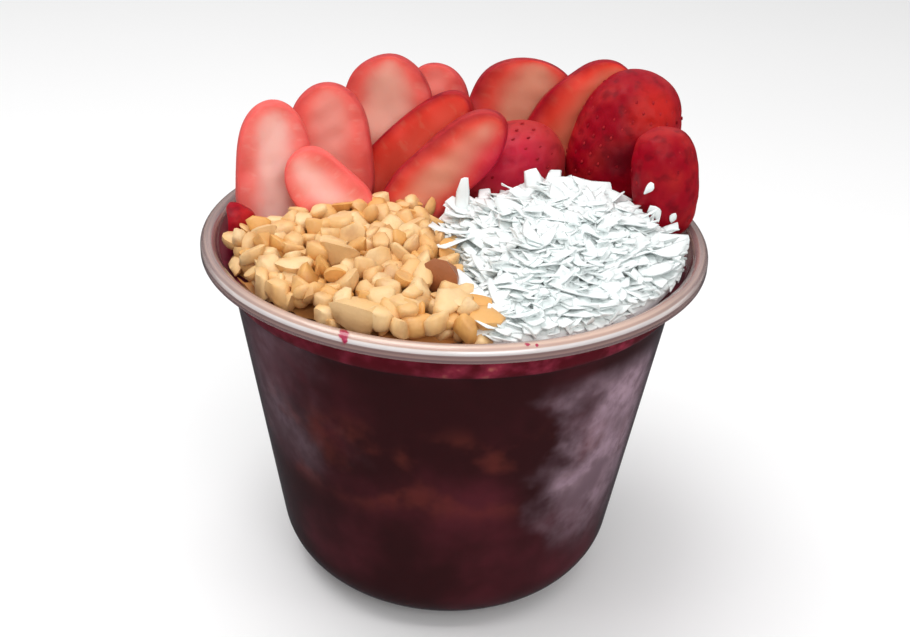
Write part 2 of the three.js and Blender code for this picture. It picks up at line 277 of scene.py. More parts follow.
class AcaiSettings(bpy.types.PropertyGroup):
    """Level and colours of the acai."""

    edge_level: length("Edge level", "Height of the acai at the wall", 84.4 * MM)
    middle_level: length("Middle level", "Height of the acai in the middle", 80.5 * MM)
    smear_rise: length("Smear rise", "How far the acai stands up the wall on the left", 2.2 * MM)
    unevenness: length("Unevenness", "Height of the swirls in the top", 0.7 * MM)
    deep: colour("Deep", "Dark body of the acai", srgb(52, 18, 20))
    body: colour("Body", "Lighter clouds in the body", srgb(92, 36, 44))
    crimson: colour("Crimson", "Thin acai behind the collar", srgb(90, 15, 27))
    pink: colour("Pink", "Paler lumps behind the collar", srgb(186, 66, 92))
    # Pale patches on the wall: partly condensation, partly painted reflection
    haze_and_reflection: colour("Haze", "Frost on the inside of the wall", srgb(196, 172, 184))
    fruit: colour("Fruit", "Bits of fruit that show through the wall", srgb(124, 58, 46))
    smear: colour("Smear", "Acai smeared on the lip", srgb(190, 40, 84))
    crumb: colour("Crumb", "Bits of nut behind the collar", srgb(190, 122, 100))
    top: colour("Top", "Dark parts of the top", srgb(58, 12, 26))
    swirl: colour("Swirl", "Lighter swirls in the top", srgb(110, 20, 44))


class StrawberrySettings(bpy.types.PropertyGroup):
    """Colours and relief of the strawberries."""

    skin_pale: colour("Pale skin", "Skin of the least ripe piece", srgb(236, 100, 94))
    skin_ripe: colour("Ripe skin", "Skin of the ripest piece", srgb(152, 2, 26))
    # Painted shade: a darker colour laid in blotches for the hollows of the skin
    hollow_shade: colour("Hollow", "Darker hollows in the skin", srgb(96, 2, 18))
    flesh_pale: colour("Pale flesh", "Cut face of the least ripe piece", srgb(244, 132, 122))
    flesh_ripe: colour("Ripe flesh", "Cut face of the ripest piece", srgb(222, 62, 46))
    core_pale: colour("Pale core", "Middle of the least ripe cut face", srgb(250, 208, 198))
    core_ripe: colour("Ripe core", "Middle of the ripest cut face", srgb(212, 132, 100))
    dimple: length("Dimple", "Depth of the hollow round a seed", 0.22 * MM)
    waviness: length("Waviness", "Unevenness of the cut faces", 0.5 * MM)
    seed: colour("Seed", "Seeds on the skin", srgb(172, 36, 42))
    dark_seed: colour("Dark seed", "Darker seeds", srgb(138, 14, 28))


class PeanutSettings(bpy.types.PropertyGroup):
    """Sizes and colours of the chopped peanuts."""

    smallest: length("Smallest", "Length of the smallest chunk", 3.8 * MM)
    largest: length("Largest", "Length of the largest chunk", 9 * MM)
    spacing: length("Spacing", "Distance between chunks in a layer", 4.2 * MM)
    layers: IntProperty(name="Layers", description="Layers of chunks over the core", default=9, min=1)
    cream: colour("Cream", "Palest cut faces", srgb(236, 202, 150))
    golden: colour("Golden", "Roasted faces", srgb(222, 164, 90))
    # Browning of the chunks, and painted shade where the core shows between them
    toasted_and_shade: colour("Toasted", "Browned skin and hollows", srgb(164, 100, 62))
    seed: IntProperty(name="Seed", description="Seed of the random draws", default=11)


class CoconutSettings(bpy.types.PropertyGroup):
    """Sizes and colours of the shredded coconut."""

    shortest: length("Shortest", "Length of the shortest flake", 6 * MM)
    longest: length("Longest", "Length of the longest flake", 12.5 * MM)
    narrowest: length("Narrowest", "Width of the narrowest flake", 2.2 * MM)
    widest: length("Widest", "Width of the widest flake", 5.2 * MM)
    thickness: length("Thickness", "Thickness of a flake", 0.35 * MM)
    spacing: length("Spacing", "Distance between flakes in a layer", 3.1 * MM)
    layers: IntProperty(name="Layers", description="Layers of flakes over the core", default=3, min=1)
    white: colour("White", "Faces of the flakes", srgb(244, 250, 249))
    shade: colour("Shade", "Greyer flakes and hollows", srgb(240, 246, 245))
    seed: IntProperty(name="Seed", description="Seed of the random draws", default=5)


class StageSettings(bpy.types.PropertyGroup):
    """Floor, light and camera."""

    floor: colour("Floor", "Colour of the floor", srgb(250, 250, 250))
    sky: FloatProperty(name="Sky", description="Strength of the even light from above", default=0.7, min=0)
    key: power("Key", "Power of the large lamp overhead", 2.7)
    fill: power("Fill", "Power of the lamp at the front", 2.4)
    strip: power("Strip", "Power of the long lamp over the rim", 1.2)
    camera_from: FloatVectorProperty(name="Camera from", description="Where the camera stands", size=3,
                                     default=(0, -277.8 * MM, 210.4 * MM), subtype="TRANSLATION")
    camera_to: FloatVectorProperty(name="Camera to", description="Point in the middle of the picture", size=3,
                                   default=(0.75 * MM, 0, 63.9 * MM), subtype="TRANSLATION")
    camera_roll: FloatProperty(name="Camera roll", description="Turn of the picture", default=0.037,
                               subtype="ANGLE")
    focal_pixels: FloatProperty(name="Focal length", default=1300, min=1,
                                description="Focal length in pixels of the photograph's width")


class Shape(NamedTuple):
    """A closed surface: its vertices, its faces of four and of three corners, and values on the vertices."""

    vertices: np.ndarray
    quads: np.ndarray
    triangles: np.ndarray
    marks: dict


def tubes(points, columns, **marks):
    """Closed surfaces of one layout. Each row of points is one surface: rings of so many columns, one after
    another, and then the two poles that shut its first and last ring. Marks have one value for each point."""
    copies, count = points.shape[:2]
    here = np.arange(count - 2).reshape(-1, columns)
    beside = np.roll(here, -1, axis=1)
    quads = np.stack([here[:-1], beside[:-1], beside[1:], here[1:]], -1).reshape(-1, 4)
    pole = np.full(columns, count - 2)
    first = np.stack([pole, beside[0], here[0]], -1)
    last = np.stack([pole + 1, here[-1], beside[-1]], -1)
    start = (np.arange(copies) * count)[:, None, None]
    return Shape(
        points.reshape(-1, 3),
        (quads + start).reshape(-1, 4),
        (np.concatenate([first, last]) + start).reshape(-1, 3),
        {name: np.broadcast_to(values, (copies, count)).reshape(-1) for name, values in marks.items()},
    )


def joined(*shapes):
    """Several shapes as one, with the faces renumbered. All of them have the same marks."""
    starts = np.cumsum([0] + [len(shape.vertices) for shape in shapes[:-1]])
    return Shape(
        np.concatenate([shape.vertices for shape in shapes]),
        np.concatenate([shape.quads + start for shape, start in zip(shapes, starts)]),
        np.concatenate([shape.triangles + start for shape, start in zip(shapes, starts)]),
        {name: np.concatenate([shape.marks[name] for shape in shapes]) for name in shapes[0].marks},
    )


def add_piece(name, shape, material, nodes=(), crease=math.pi):
    """Puts a shape into the scene at the origin, riding on the bowl's body and standing for these nodes."""
    corners = np.concatenate([shape.quads.ravel(), shape.triangles.ravel()])
    sizes = np.repeat((4, 3), (len(shape.quads), len(shape.triangles)))
    mesh = bpy.data.meshes.new(name)
    mesh.vertices.add(len(shape.vertices))
    mesh.vertices.foreach_set("co", shape.vertices.astype(np.float32).ravel())
    mesh.loops.add(len(corners))
    mesh.loops.foreach_set("vertex_index", corners.astype(np.int32))
    mesh.polygons.add(len(sizes))
    mesh.polygons.foreach_set("loop_start", (np.cumsum(sizes) - sizes).astype(np.int32))
    mesh.update(calc_edges=True)
    if mesh.validate():
        raise RuntimeError(f"{name} has faces that can't be used")
    for mark, values in shape.marks.items():
        attribute = mesh.attributes.new(mark, "FLOAT", "POINT")
        attribute.data.foreach_set("value", values.astype(np.float32))
    mesh.shade_smooth()
    if crease < math.pi:
        mesh.set_sharp_from_angle(angle=crease)
    mesh.materials.append(material)
    piece = bpy.data.objects.new(name, mesh)
    bpy.context.scene.collection.objects.link(piece)
    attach(piece, BODY)
    if nodes:
        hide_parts(*nodes)
    return piece


def ripple(points, wavelength, seed):
    """Smooth unevenness of about -1 to 1: the sum of sines along seeded directions, all of one wavelength."""
    rng = np.random.default_rng(seed)
    ways = rng.normal(size=(RIPPLE_WAVES, points.shape[-1]))
    ways *= TURN / wavelength / np.linalg.norm(ways, axis=1, keepdims=True)
    phases = rng.uniform(0, TURN, RIPPLE_WAVES)
    return np.sin(points @ ways.T + phases).sum(-1) / math.sqrt(2 * RIPPLE_WAVES)


def arc(centre, radius, start, stop, steps):
    """Points on a circle's arc from one angle to another, both ends included."""
    angles = np.linspace(start, stop, steps + 1)
    return np.stack([centre[0] + radius * np.cos(angles), centre[1] + radius * np.sin(angles)], -1)


def rounded(corners, reach):
    """A line through corners, each inner corner cut off at most a reach away from it by a quadratic curve."""
    corners = np.array(corners)
    before, here, after = corners[:-2], corners[1:-1], corners[2:]
    back, ahead = before - here, after - here
    back_length = np.linalg.norm(back, axis=1, keepdims=True)
    ahead_length = np.linalg.norm(ahead, axis=1, keepdims=True)
    start = here + back / back_length * np.minimum(reach, FILLET_SHARE * back_length)
    stop = here + ahead / ahead_length * np.minimum(reach, FILLET_SHARE * ahead_length)
    t = np.linspace(0, 1, FILLET_STEPS)[None, :, None]
    curves = start[:, None] * (1 - t) ** 2 + 2 * here[:, None] * t * (1 - t) + stop[:, None] * t ** 2
    return np.concatenate([corners[:1], curves.reshape(-1, 2), corners[-1:]])


def wall_line(cup):
    """Middle of the cup's wall as (radius, height) points: out along the base, round the foot, up the drafted
    side, over the stacking step and the collar, and round the lip to the end of its skirt."""
    half = cup.wall / 2
    foot_centre = (cup.foot_flat, cup.foot_round)
    foot = arc(foot_centre, cup.foot_round - half, -math.pi / 2, -cup.draft, FOOT_STEPS)
    step_radius = foot[-1, 0] + (cup.step_height - foot[-1, 1]) * math.tan(cup.draft)
    lip_centre = (cup.rim_radius - cup.lip_radius, cup.height - cup.lip_radius)
    lip = arc(lip_centre, cup.lip_radius - half, math.pi, 0, LIP_STEPS)
    side = rounded([
        foot[-1],
        (step_radius, cup.step_height),
        (step_radius + cup.step_out, cup.step_height + STEP_RISE),
        (cup.collar_radius - half, cup.collar_height),
        lip[0],
    ], STEP_FILLET)
    skirt = (cup.rim_radius - half, cup.height - SKIRT_DROP)
    return np.concatenate([[(0, half)], foot[:-1], side, lip[1:], [skirt]])


def moved_line(line, distance):
    """A line moved to the right of its direction, mitred at its corners."""
    ways = np.diff(line, axis=0)
    ways /= np.linalg.norm(ways, axis=1, keepdims=True)
    into = np.concatenate([ways[:1], ways])
    out = np.concatenate([ways, ways[-1:]])
    mean = into + out
    mean /= np.linalg.norm(mean, axis=1, keepdims=True)
    mitre = distance / (mean * into).sum(1)
    radii = np.maximum(line[:, 0] + mean[:, 1] * mitre, 0)
    return np.stack([radii, line[:, 1] - mean[:, 0] * mitre], -1)


def revolved(radii, heights, columns, start_z, end_z):
    """Points of a surface of revolution and its two poles, from radii and heights by ring or by point."""
    angles = np.arange(columns) / columns * TURN
    rings = np.broadcast_to(radii, (len(radii), columns))
    heights = np.broadcast_to(heights, rings.shape)
    points = np.stack([rings * np.cos(angles), rings * np.sin(angles), heights], -1)
    return np.concatenate([points.reshape(-1, 3), [(0, 0, start_z), (0, 0, end_z)]])[None]


def cup_shape(cup):
    """The cup's wall: its middle line moved half the wall to both sides, with a round end, turned about Z."""
    line = wall_line(cup)
    half = cup.wall / 2
    right = moved_line(line, half)
    left = moved_line(line, -half)[::-1]
    end = arc(line[-1], half, math.pi, TURN, END_STEPS)[1:-1]
    profile = np.concatenate([right[1:], end, left[:-1]])
    return tubes(revolved(profile[:, :1], profile[:, 1:], CUP_COLUMNS, 0, cup.wall), CUP_COLUMNS)


# Acai: its rings and columns, the direction and reach of the smear that stands up the wall, the share of the
# way in over which the top leaves its edge, and the waves of its edge and of its top
ACAI_COLUMNS = 240
ACAI_COLLAR_RINGS = 8
ACAI_TOP_RINGS = 70
ACAI_SMEAR_AT = math.radians(174)
ACAI_SMEAR_REACH = math.radians(16)
ACAI_EDGE_SHARE = 1 / 6
EDGE_LENGTH, EDGE_SEED = 0.5, 3
SWIRL_LENGTH, SWIRL_SEED = 11 * MM, 4
CURL_LENGTH, CURL_SEED = 4 * MM, 5
CURL_SHARE = 0.5


def acai_dish(acai, cup, radius):
    """Height of the acai's top at a distance from the axis: a shallow paraboloid dish."""
    return acai.middle_level + (acai.edge_level - acai.middle_level) * (radius / cup.collar_radius) ** 2


def acai_shape(acai, cup):
    """The acai: the wall's middle line turned about Z up to an uneven edge, then a dished top with swirls."""
    line = wall_line(cup)
    line = line[1:np.argmax(line[:, 1])]
    step_top = cup.step_height + STEP_RISE
    side = line[line[:, 1] < step_top]
    angles = np.arange(ACAI_COLUMNS) / ACAI_COLUMNS * TURN
    around = np.stack([np.cos(angles), np.sin(angles)], -1)
    edge = acai.edge_level + acai.unevenness * ripple(around, EDGE_LENGTH, EDGE_SEED)
    edge += acai.smear_rise * np.exp(-((angles - ACAI_SMEAR_AT) / ACAI_SMEAR_REACH) ** 2)
    rise = (np.arange(ACAI_COLLAR_RINGS) + 1)[:, None] / ACAI_COLLAR_RINGS
    collar_z = step_top + rise * (edge - step_top)
    collar_r = np.interp(collar_z, line[:, 1], line[:, 0])
    inward = (np.arange(ACAI_TOP_RINGS - 1) + 1)[:, None] / ACAI_TOP_RINGS
    top_r = collar_r[-1] * (1 - inward)
    spots = top_r[..., None] * around
    curls = CURL_SHARE * ripple(spots, CURL_LENGTH, CURL_SEED)
    swirls = acai.unevenness * (ripple(spots, SWIRL_LENGTH, SWIRL_SEED) + curls)
    fade = np.clip(inward / ACAI_EDGE_SHARE, 0, 1)
    dish = acai_dish(acai, cup, top_r)
    top_z = dish + swirls * fade + (edge - dish) * (1 - fade)
    side_r, side_z = np.repeat(side.T[..., None], ACAI_COLUMNS, axis=2)
    radii = np.concatenate([side_r, collar_r, top_r])
    heights = np.concatenate([side_z, collar_z, top_z])
    points = revolved(radii, heights, ACAI_COLUMNS, cup.wall / 2, acai.middle_level)
    on_wall = np.zeros(points.shape[1])
    on_wall[:(len(side) + ACAI_COLLAR_RINGS) * ACAI_COLUMNS] = 1
    on_wall[-2] = 1
    return tubes(points, ACAI_COLUMNS, on_wall=on_wall)


def berry_outline(along):
    """Half width of a whole berry at a share of its length from shoulder to tip, where the widest ring is 1:
    an ellipse arc below that ring, a blunter one above it, and a rounded end at the shoulder."""
    above = np.clip((along - BERRY_WIDEST) / (1 - BERRY_WIDEST), 0, 1)
    below = np.clip((BERRY_WIDEST - along) / (BERRY_WIDEST * BERRY_SHOULDER), 0, 1)
    end = np.clip(1 - along / SHOULDER_ROUND, 0, 1)
    return np.sqrt(np.clip(1 - above ** BERRY_TIP_POWER - below ** 2, 0, 1) * (1 - end ** 2))


def berry_points(size, slab):
    """A berry along Z cut by two planes across Y, as rings and two poles. A ring is a section of the berry:
    in each direction from the section's middle, the soft minimum of the distances to the skin and to the two
    planes."""
    long, wide = size
    front, back = slab
    along = np.linspace(0, 1, CUT_SAMPLES)
    cut = along[berry_outline(along) * wide / 2 > max(front, -back, 1e-6)]
    angle = (np.arange(BERRY_RINGS) + 0.5) / BERRY_RINGS * math.pi
    along = cut[0] + (cut[-1] - cut[0]) * (1 - np.cos(angle)) / 2
    radius = berry_outline(along) * wide / 2
    low, high = np.maximum(front, -radius), np.minimum(back, radius)
    middle, half = (low + high) / 2, (high - low) / 2
    chord = np.sqrt(np.maximum(radius ** 2 - middle ** 2, 1e-12))
    around = np.arange(BERRY_COLUMNS) / BERRY_COLUMNS * TURN
    ways = np.stack([chord[:, None] * np.cos(around), half[:, None] * np.sin(around)], -1)
    ways /= np.linalg.norm(ways, axis=-1, keepdims=True)
    x, y = ways[..., 0], ways[..., 1]
    reach = middle[:, None] * y
    to_skin = np.sqrt(reach ** 2 + (radius ** 2 - middle ** 2)[:, None]) - reach
    to_front = np.maximum(-y, 1e-9) / (middle - front)[:, None]
    to_back = np.maximum(y, 1e-9) / (back - middle)[:, None]
    sharp = to_skin ** -BERRY_EDGE + to_front ** BERRY_EDGE + to_back ** BERRY_EDGE
    soft = sharp ** (-1 / BERRY_EDGE)
    z = np.broadcast_to((long * (along - 0.5))[:, None], x.shape)
    rings = np.stack([soft * x, middle[:, None] + soft * y, z], -1).reshape(-1, 3)
    near = min(max(0, front), back) if front > 0 or back > 0 else back
    poles = [(0, near, long * (cut[0] - 0.5)), (0, near, long * (cut[-1] - 0.5))]
    return np.concatenate([rings, poles])


def seed_spots(size, slab):
    """Seeds of a half: a golden-angle spiral whose steps take equal shares of the skin. Those in front of the
    slab are moved back to its bulging face."""
    long, wide = size
    along = np.linspace(0, 1, SPIRAL_SAMPLES)
    area = np.cumsum(berry_outline(along))
    count = int(area[-1] / len(along) * math.pi * wide * long / SEED_SPACING ** 2)
    along = np.interp((np.arange(count) + 0.5) / count, area / area[-1], along)
    angle = GOLDEN_ANGLE * np.arange(count)
    radius = berry_outline(along) * wide / 2
    spots = np.stack([radius * np.cos(angle), radius * np.sin(angle), long * (along - 0.5)], -1)
    inward = np.clip((spots[:, 0] ** 2 + slab[0] ** 2) / radius ** 2, 0, 1)
    face = slab[0] - HALF_BULGE * (1 - inward)
    spots[:, 1] = np.maximum(spots[:, 1], face)
    on_skin = spots[:, 1] < slab[1] - SEED_MARGIN
    return spots[on_skin & (along > SHOULDER_ROUND) & (along < SEED_LAST)]


def turn_matrix(pose):
    """The rotation that leans about Y, then tilts about X and then turns about Z, in degrees."""
    turn, tilt, lean = np.radians(pose)
    (cz, cx, cy), (sz, sx, sy) = np.cos((turn, tilt, lean)), np.sin((turn, tilt, lean))
    about_y = np.array([(cy, 0, sy), (0, 1, 0), (-sy, 0, cy)])
    about_x = np.array([(1, 0, 0), (0, cx, -sx), (0, sx, cx)])
    about_z = np.array([(cz, -sz, 0), (sz, cz, 0), (0, 0, 1)])
    return about_z @ about_x @ about_y


def turned(points, pose):
    return points @ turn_matrix(pose).T


def strawberry_shapes(settings, row, seed):
    """One piece of strawberry and its seeds, both in place. The skin dips round each seed, and the whole is a
    little uneven. A half, cut off behind its axis, bulges in front. The marks say how deep in the berry a
    point lies, where it is along and across, how ripe it is and how strong its core."""
    _, centre, size, slab, pose, ripeness, core = row
    centre, size, slab = (np.array(values) * MM for values in (centre, size, slab))
    points = berry_points(size, slab)
    seeds = seed_spots(size, slab) if slab[1] <= 0 else np.empty((0, 3))
    along = points[:, 2] / size[0] + 0.5
    radius = np.maximum(berry_outline(np.clip(along, 0, 1)) * size[1] / 2, BERRY_LEAST)
    out = points[:, :2] / radius[:, None]
    depth = np.clip(np.linalg.norm(out, axis=1), 0, 1)
    if slab[1] <= 0:
        in_front = points[:, 1] < slab.mean()
        points[:, 1] -= np.where(in_front, HALF_BULGE * (1 - depth ** 2), 0)
        depth = np.where(in_front, 1, depth)
    away = np.linalg.norm(points[:, None] - seeds[None], axis=2).min(1, initial=1)
    points[:, :2] -= out * (settings.dimple * np.exp(-(away / DIMPLE_REACH) ** 2))[:, None]
    waves = ripple(points, BROAD_WAVE, seed) + FINE_SHARE * ripple(points, FINE_WAVE, seed + 1)
    points[:, 1] += settings.waviness * waves
    points[:, 0] += settings.waviness * ripple(points, SIDE_WAVE, seed + 2)
    middle = np.array((0, slab.mean(), 0))
    skin = tubes((turned(points - middle, pose) + centre)[None], BERRY_COLUMNS, depth=depth, along=along,
                 across=points[:, 0] / (size[1] / 2), ripeness=ripeness, core=core)
    return skin, seed_shape(seeds, size, middle, pose, centre)


# Seed: its rings, columns and half sizes, how deep it sits, and the step that finds the skin's slope there
SEED_RINGS = 5
SEED_COLUMNS = 8
SEED_HALF_SIZE = np.array((0.3, 0.22, 0.5)) * MM
SEED_SINK = 0.38 * MM
SLOPE_STEP = 0.01


def seed_shape(spots, size, middle, pose, centre):
    """Seeds as small ellipsoids, lying along the berry's length and sunk a little into its skin."""
    ball = ball_directions(SEED_RINGS, SEED_COLUMNS) * SEED_HALF_SIZE
    angle = np.arctan2(spots[:, 1], spots[:, 0])
    along = np.clip(spots[:, 2] / size[0] + 0.5, 2 * SLOPE_STEP, 1 - 2 * SLOPE_STEP)
    rise = (berry_outline(along + SLOPE_STEP) - berry_outline(along - SLOPE_STEP)) / (2 * SLOPE_STEP)
    slope = rise * size[1] / 2 / size[0]
    up = np.stack([slope * np.cos(angle), slope * np.sin(angle), np.ones_like(angle)], -1)
    up /= np.linalg.norm(up, axis=1, keepdims=True)
    side = np.stack([-np.sin(angle), np.cos(angle), np.zeros_like(angle)], -1)
    out = np.cross(side, up)
    axes = np.stack([side, out, up], 1)
    points = spots[:, None] - out[:, None] * SEED_SINK + ball @ axes
    return tubes(turned(points - middle, pose) + centre, SEED_COLUMNS)


def ball_directions(rings, columns):
    """Unit directions over a ball: rings from the south pole to the north pole, and then the two poles."""
    rise = (np.arange(rings) + 0.5) / rings * math.pi
    around = np.arange(columns) / columns * TURN
    rise, around = np.meshgrid(rise, around, indexing="ij")
    level = np.sin(rise)
    ball = np.stack([level * np.cos(around), level * np.sin(around), -np.cos(rise)], -1)
    return np.concatenate([ball.reshape(-1, 3), [(0, 0, -1), (0, 0, 1)]])


def heap_reach(heap, angles):
    """Plan distance from a heap's peak in each direction to the nearest of the cup and the heap's edges."""
    ways = np.stack([np.cos(angles), np.sin(angles)], -1)
    along = ways @ heap["peak"]
    reach = np.sqrt(along ** 2 + HEAP_RADIUS ** 2 - heap["peak"] @ heap["peak"]) - along
    for facing, distance in heap["edges"]:
        normal = np.array((math.cos(math.radians(facing)), math.sin(math.radians(facing))))
        closing = ways @ normal
        straight = (distance - heap["peak"] @ normal) / np.maximum(closing, 1e-6)
        reach = np.where(closing > 1e-6, np.minimum(reach, straight), reach)
    return reach


def heap_share(heap, spots):
    """Share of the way from a heap's peak to its edge at plan points."""
    away = spots - heap["peak"]
    return np.linalg.norm(away, axis=-1) / heap_reach(heap, np.arctan2(away[..., 1], away[..., 0]))


def heap_top(heap, shares):
    """Height of a heap's core, a dome, at a share of the way from its peak to its edge."""
    return heap["edge_z"] + (heap["peak_z"] - heap["edge_z"]) * (1 - shares ** 2)


def heap_core(heap, acai, cup, sink, lumps, seed, **marks):
    """Core of a heap: a disc stretched to the heap's edge, lumpy and domed on top, flat on the acai below.
    Its top lies a sink deeper than the heap's own dome, to make room for what is scattered on it."""
    angles = np.arange(HEAP_COLUMNS) / HEAP_COLUMNS * TURN
    shares = (np.arange(HEAP_RINGS) + 1)[:, None] / HEAP_RINGS
    shares = np.concatenate([shares, shares[::-1]])
    over = np.arange(len(shares)) >= HEAP_RINGS
    reach = shares * heap_reach(heap, angles)
    spots = heap["peak"] + reach[..., None] * np.stack([np.cos(angles), np.sin(angles)], -1)
    under_z = acai_dish(acai, cup, np.linalg.norm(spots, axis=-1)) - acai.unevenness
    over_z = heap_top(heap, shares) - sink + lumps * ripple(spots, LUMP_LENGTH, seed)
    z = np.where(over[:, None], np.maximum(over_z, under_z + CORE_LEAST), under_z)
    rings = np.concatenate([spots, z[..., None]], -1).reshape(-1, 3)
    poles = [(*heap["peak"], acai.middle_level), (*heap["peak"], heap["peak_z"] - sink)]
    return tubes(np.concatenate([rings, poles])[None], HEAP_COLUMNS, **marks)


def kept_inside(points):
    """Points pulled in towards the cup's axis to within its wall, which widens upwards."""
    free = np.interp(points[..., 2:], WALL_HEIGHTS, WALL_RADII)
    away = np.linalg.norm(points[..., :2], axis=-1, keepdims=True)
    points[..., :2] *= np.minimum(1, free / np.maximum(away, 1e-9))
    return points


def wall_spots(span, spacing, rng):
    """Points in a row along the cup's wall, between two directions from its axis."""
    angle = np.arange(*np.radians(span), spacing / WALL_ROW_RADIUS)
    radius = WALL_ROW_RADIUS + rng.uniform(*WALL_ROW_SHIFTS, len(angle)) * MM
    z = WALL_ROW_Z + rng.uniform(*WALL_ROW_LIFTS, len(angle)) * MM
    return np.stack([radius * np.cos(angle), radius * np.sin(angle), z], -1)


def heap_spots(heap, spacing, rng):
    """Plan points spread evenly over a heap: a triangular grid, each point shifted a little at random."""
    row_spacing = spacing * math.sqrt(3) / 2
    rows = math.ceil(HEAP_RADIUS / row_spacing)
    row, column = np.mgrid[-rows:rows + 1, -rows:rows + 1]
    spots = np.stack([(column + row % 2 / 2) * spacing, row * row_spacing], -1).reshape(-1, 2)
    spots += rng.uniform(-HEAP_JITTER, HEAP_JITTER, spots.shape) * spacing + rng.uniform(0, spacing, 2)
    return spots[heap_share(heap, spots) < 1]


def random_turns(rng, count, tipping):
    """Rotation matrices: any turn about Z, and a tip of a normally drawn angle about a level axis."""
    turn = rng.uniform(0, TURN, count)
    tip = rng.normal(0, tipping, count)
    way = rng.uniform(0, TURN, count)
    zero, one = np.zeros(count), np.ones(count)
    c, s = np.cos(turn), np.sin(turn)
    spin = np.array([(c, -s, zero), (s, c, zero), (zero, zero, one)])
    x, y, c, s = np.cos(way), np.sin(way), np.cos(tip), np.sin(tip)
    lean = np.array([
        (c + x * x * (1 - c), x * y * (1 - c), y * s),
        (x * y * (1 - c), c + y * y * (1 - c), -x * s),
        (-y * s, x * s, c),
    ])
    return np.einsum("ijn,jkn->nik", lean, spin)


def placed(points, turns, spots):
    """Pieces turned each by its own matrix and moved each to its own spot, within the cup's wall."""
    return kept_inside(np.einsum("nij,nmj->nmi", turns, points) + spots[:, None])


# Chopped peanut: corners of its section, how much they and the ends are blunted, the ranges of the draws, and
# how much of its side is the nut's outside
BLOCK_CORNERS = 4
BLOCK_BLUNT = 0.28
BLOCK_RINGS = np.array([(0.7, -1), (1, -0.72), (1, 0.72), (0.7, 1)])
BLOCK_UNEVEN = 0.5
BLOCK_REACHES = (0.7, 1.25)
BLOCK_TAPER = 0.32
BLOCK_SLANT = 0.36
BLOCK_LEAST, BLOCK_MOST = (0.5, 0.37, 0.28), (0.6, 0.52, 0.42)
BLOCK_POINT = 0.12
BLOCK_TIPPING = 0.7
BLOCK_SKIN = 2.4


def peanut_blocks(spots, sizes, roasts, rng):
    """Chopped peanuts at points in space: four-sided blocks with blunted edges. A block's corners stand at
    uneven angles and distances, it tapers from one end to the other, and both ends are cut aslant. The marks
    give each one's roast, and which of its sides is the nut's own outside."""
    count = len(spots)
    corner = (np.arange(BLOCK_CORNERS) + 0.5) / BLOCK_CORNERS * TURN
    corner = corner + rng.uniform(-BLOCK_UNEVEN, BLOCK_UNEVEN, (count, BLOCK_CORNERS))
    angle = (corner[..., None] + np.array((-BLOCK_BLUNT, BLOCK_BLUNT))).reshape(count, -1)
    reach = np.repeat(rng.uniform(*BLOCK_REACHES, (count, BLOCK_CORNERS)), 2, axis=1)
    outline = reach[..., None] * np.stack([np.cos(angle), np.sin(angle)], -1)
    width, height = BLOCK_RINGS.T
    taper = 1 + rng.uniform(-BLOCK_TAPER, BLOCK_TAPER, count)[:, None] * height
    plan = outline[:, None] * (width * taper)[:, :, None, None]
    slant = np.repeat(rng.normal(0, BLOCK_SLANT, (count, 2, 2)), 2, axis=1)
    level = height[:, None] + (plan * slant[:, :, None]).sum(-1)
    rings = np.concatenate([plan, level[..., None]], -1).reshape(count, -1, 3)
    ends = np.zeros((count, 2, 3))
    ends[..., 2] = (-1, 1) + rng.uniform(-BLOCK_POINT, BLOCK_POINT, (count, 2))
    breadths = rng.uniform(BLOCK_LEAST, BLOCK_MOST, (count, 3))
    points = np.concatenate([rings, ends], 1) * (sizes[:, None] * breadths)[:, None]
    points = placed(points, random_turns(rng, count, BLOCK_TIPPING), spots)
    facing = np.cos(angle - rng.uniform(0, TURN, (count, 1)))
    outside = np.tile(np.clip(BLOCK_SKIN * facing - 1, 0, 1), (1, len(BLOCK_RINGS)))
    outside = np.concatenate([outside, np.zeros((count, 2))], 1)
    return tubes(points, angle.shape[1], roast=roasts[:, None], outside=outside)


# Half kernel: its rings and columns, how sharp its cut edge is, its half sizes as shares of its length, the
# range of the cut's height, how much one end is thicker, how far it tips, and radii from cut face to outside
KERNEL_RINGS = 8
KERNEL_COLUMNS = 12
KERNEL_EDGE = 12
KERNEL_SHAPE = np.array((0.55, 0.37, 0.36))
KERNEL_CUTS = (0.06, 0.3)
KERNEL_EGG = 0.16
KERNEL_TIPPING = 1.2
KERNEL_SKIN = (0.8, 0.98)


def peanut_kernels(spots, sizes, roasts, rng):
    """Half kernels at points in space: egg shapes cut along their length, as the soft minimum of a ball and a
    plane stretched to size."""
    count = len(spots)
    directions = ball_directions(KERNEL_RINGS, KERNEL_COLUMNS)
    facing = np.maximum(directions[:, 2] / rng.uniform(*KERNEL_CUTS, (count, 1)), 0)
    radii = (1 + facing ** KERNEL_EDGE) ** (-1 / KERNEL_EDGE)
    egg = 1 + KERNEL_EGG * directions[:, :1] * np.array((0, 1, 1))
    points = radii[..., None] * directions * egg * (sizes[:, None] * KERNEL_SHAPE)[:, None]
    points = placed(points, random_turns(rng, count, KERNEL_TIPPING), spots)
    outside = np.interp(radii, KERNEL_SKIN, (0, 1))
    return tubes(points, KERNEL_COLUMNS, roast=roasts[:, None], outside=outside)


# Heap of peanuts: how deep its core lies and how lumpy it is, the directions between which a row lies along
# the wall and how close that row is, how near two chunks come and how high they are heaped, the spread of
# their sizes and roasts, how far a chunk stands over its middle as a share of its length, and the share of
# half kernels
PEANUT_SINK = 2 * MM
PEANUT_LUMPS = 1 * MM
PEANUT_CORE_SEED = 21
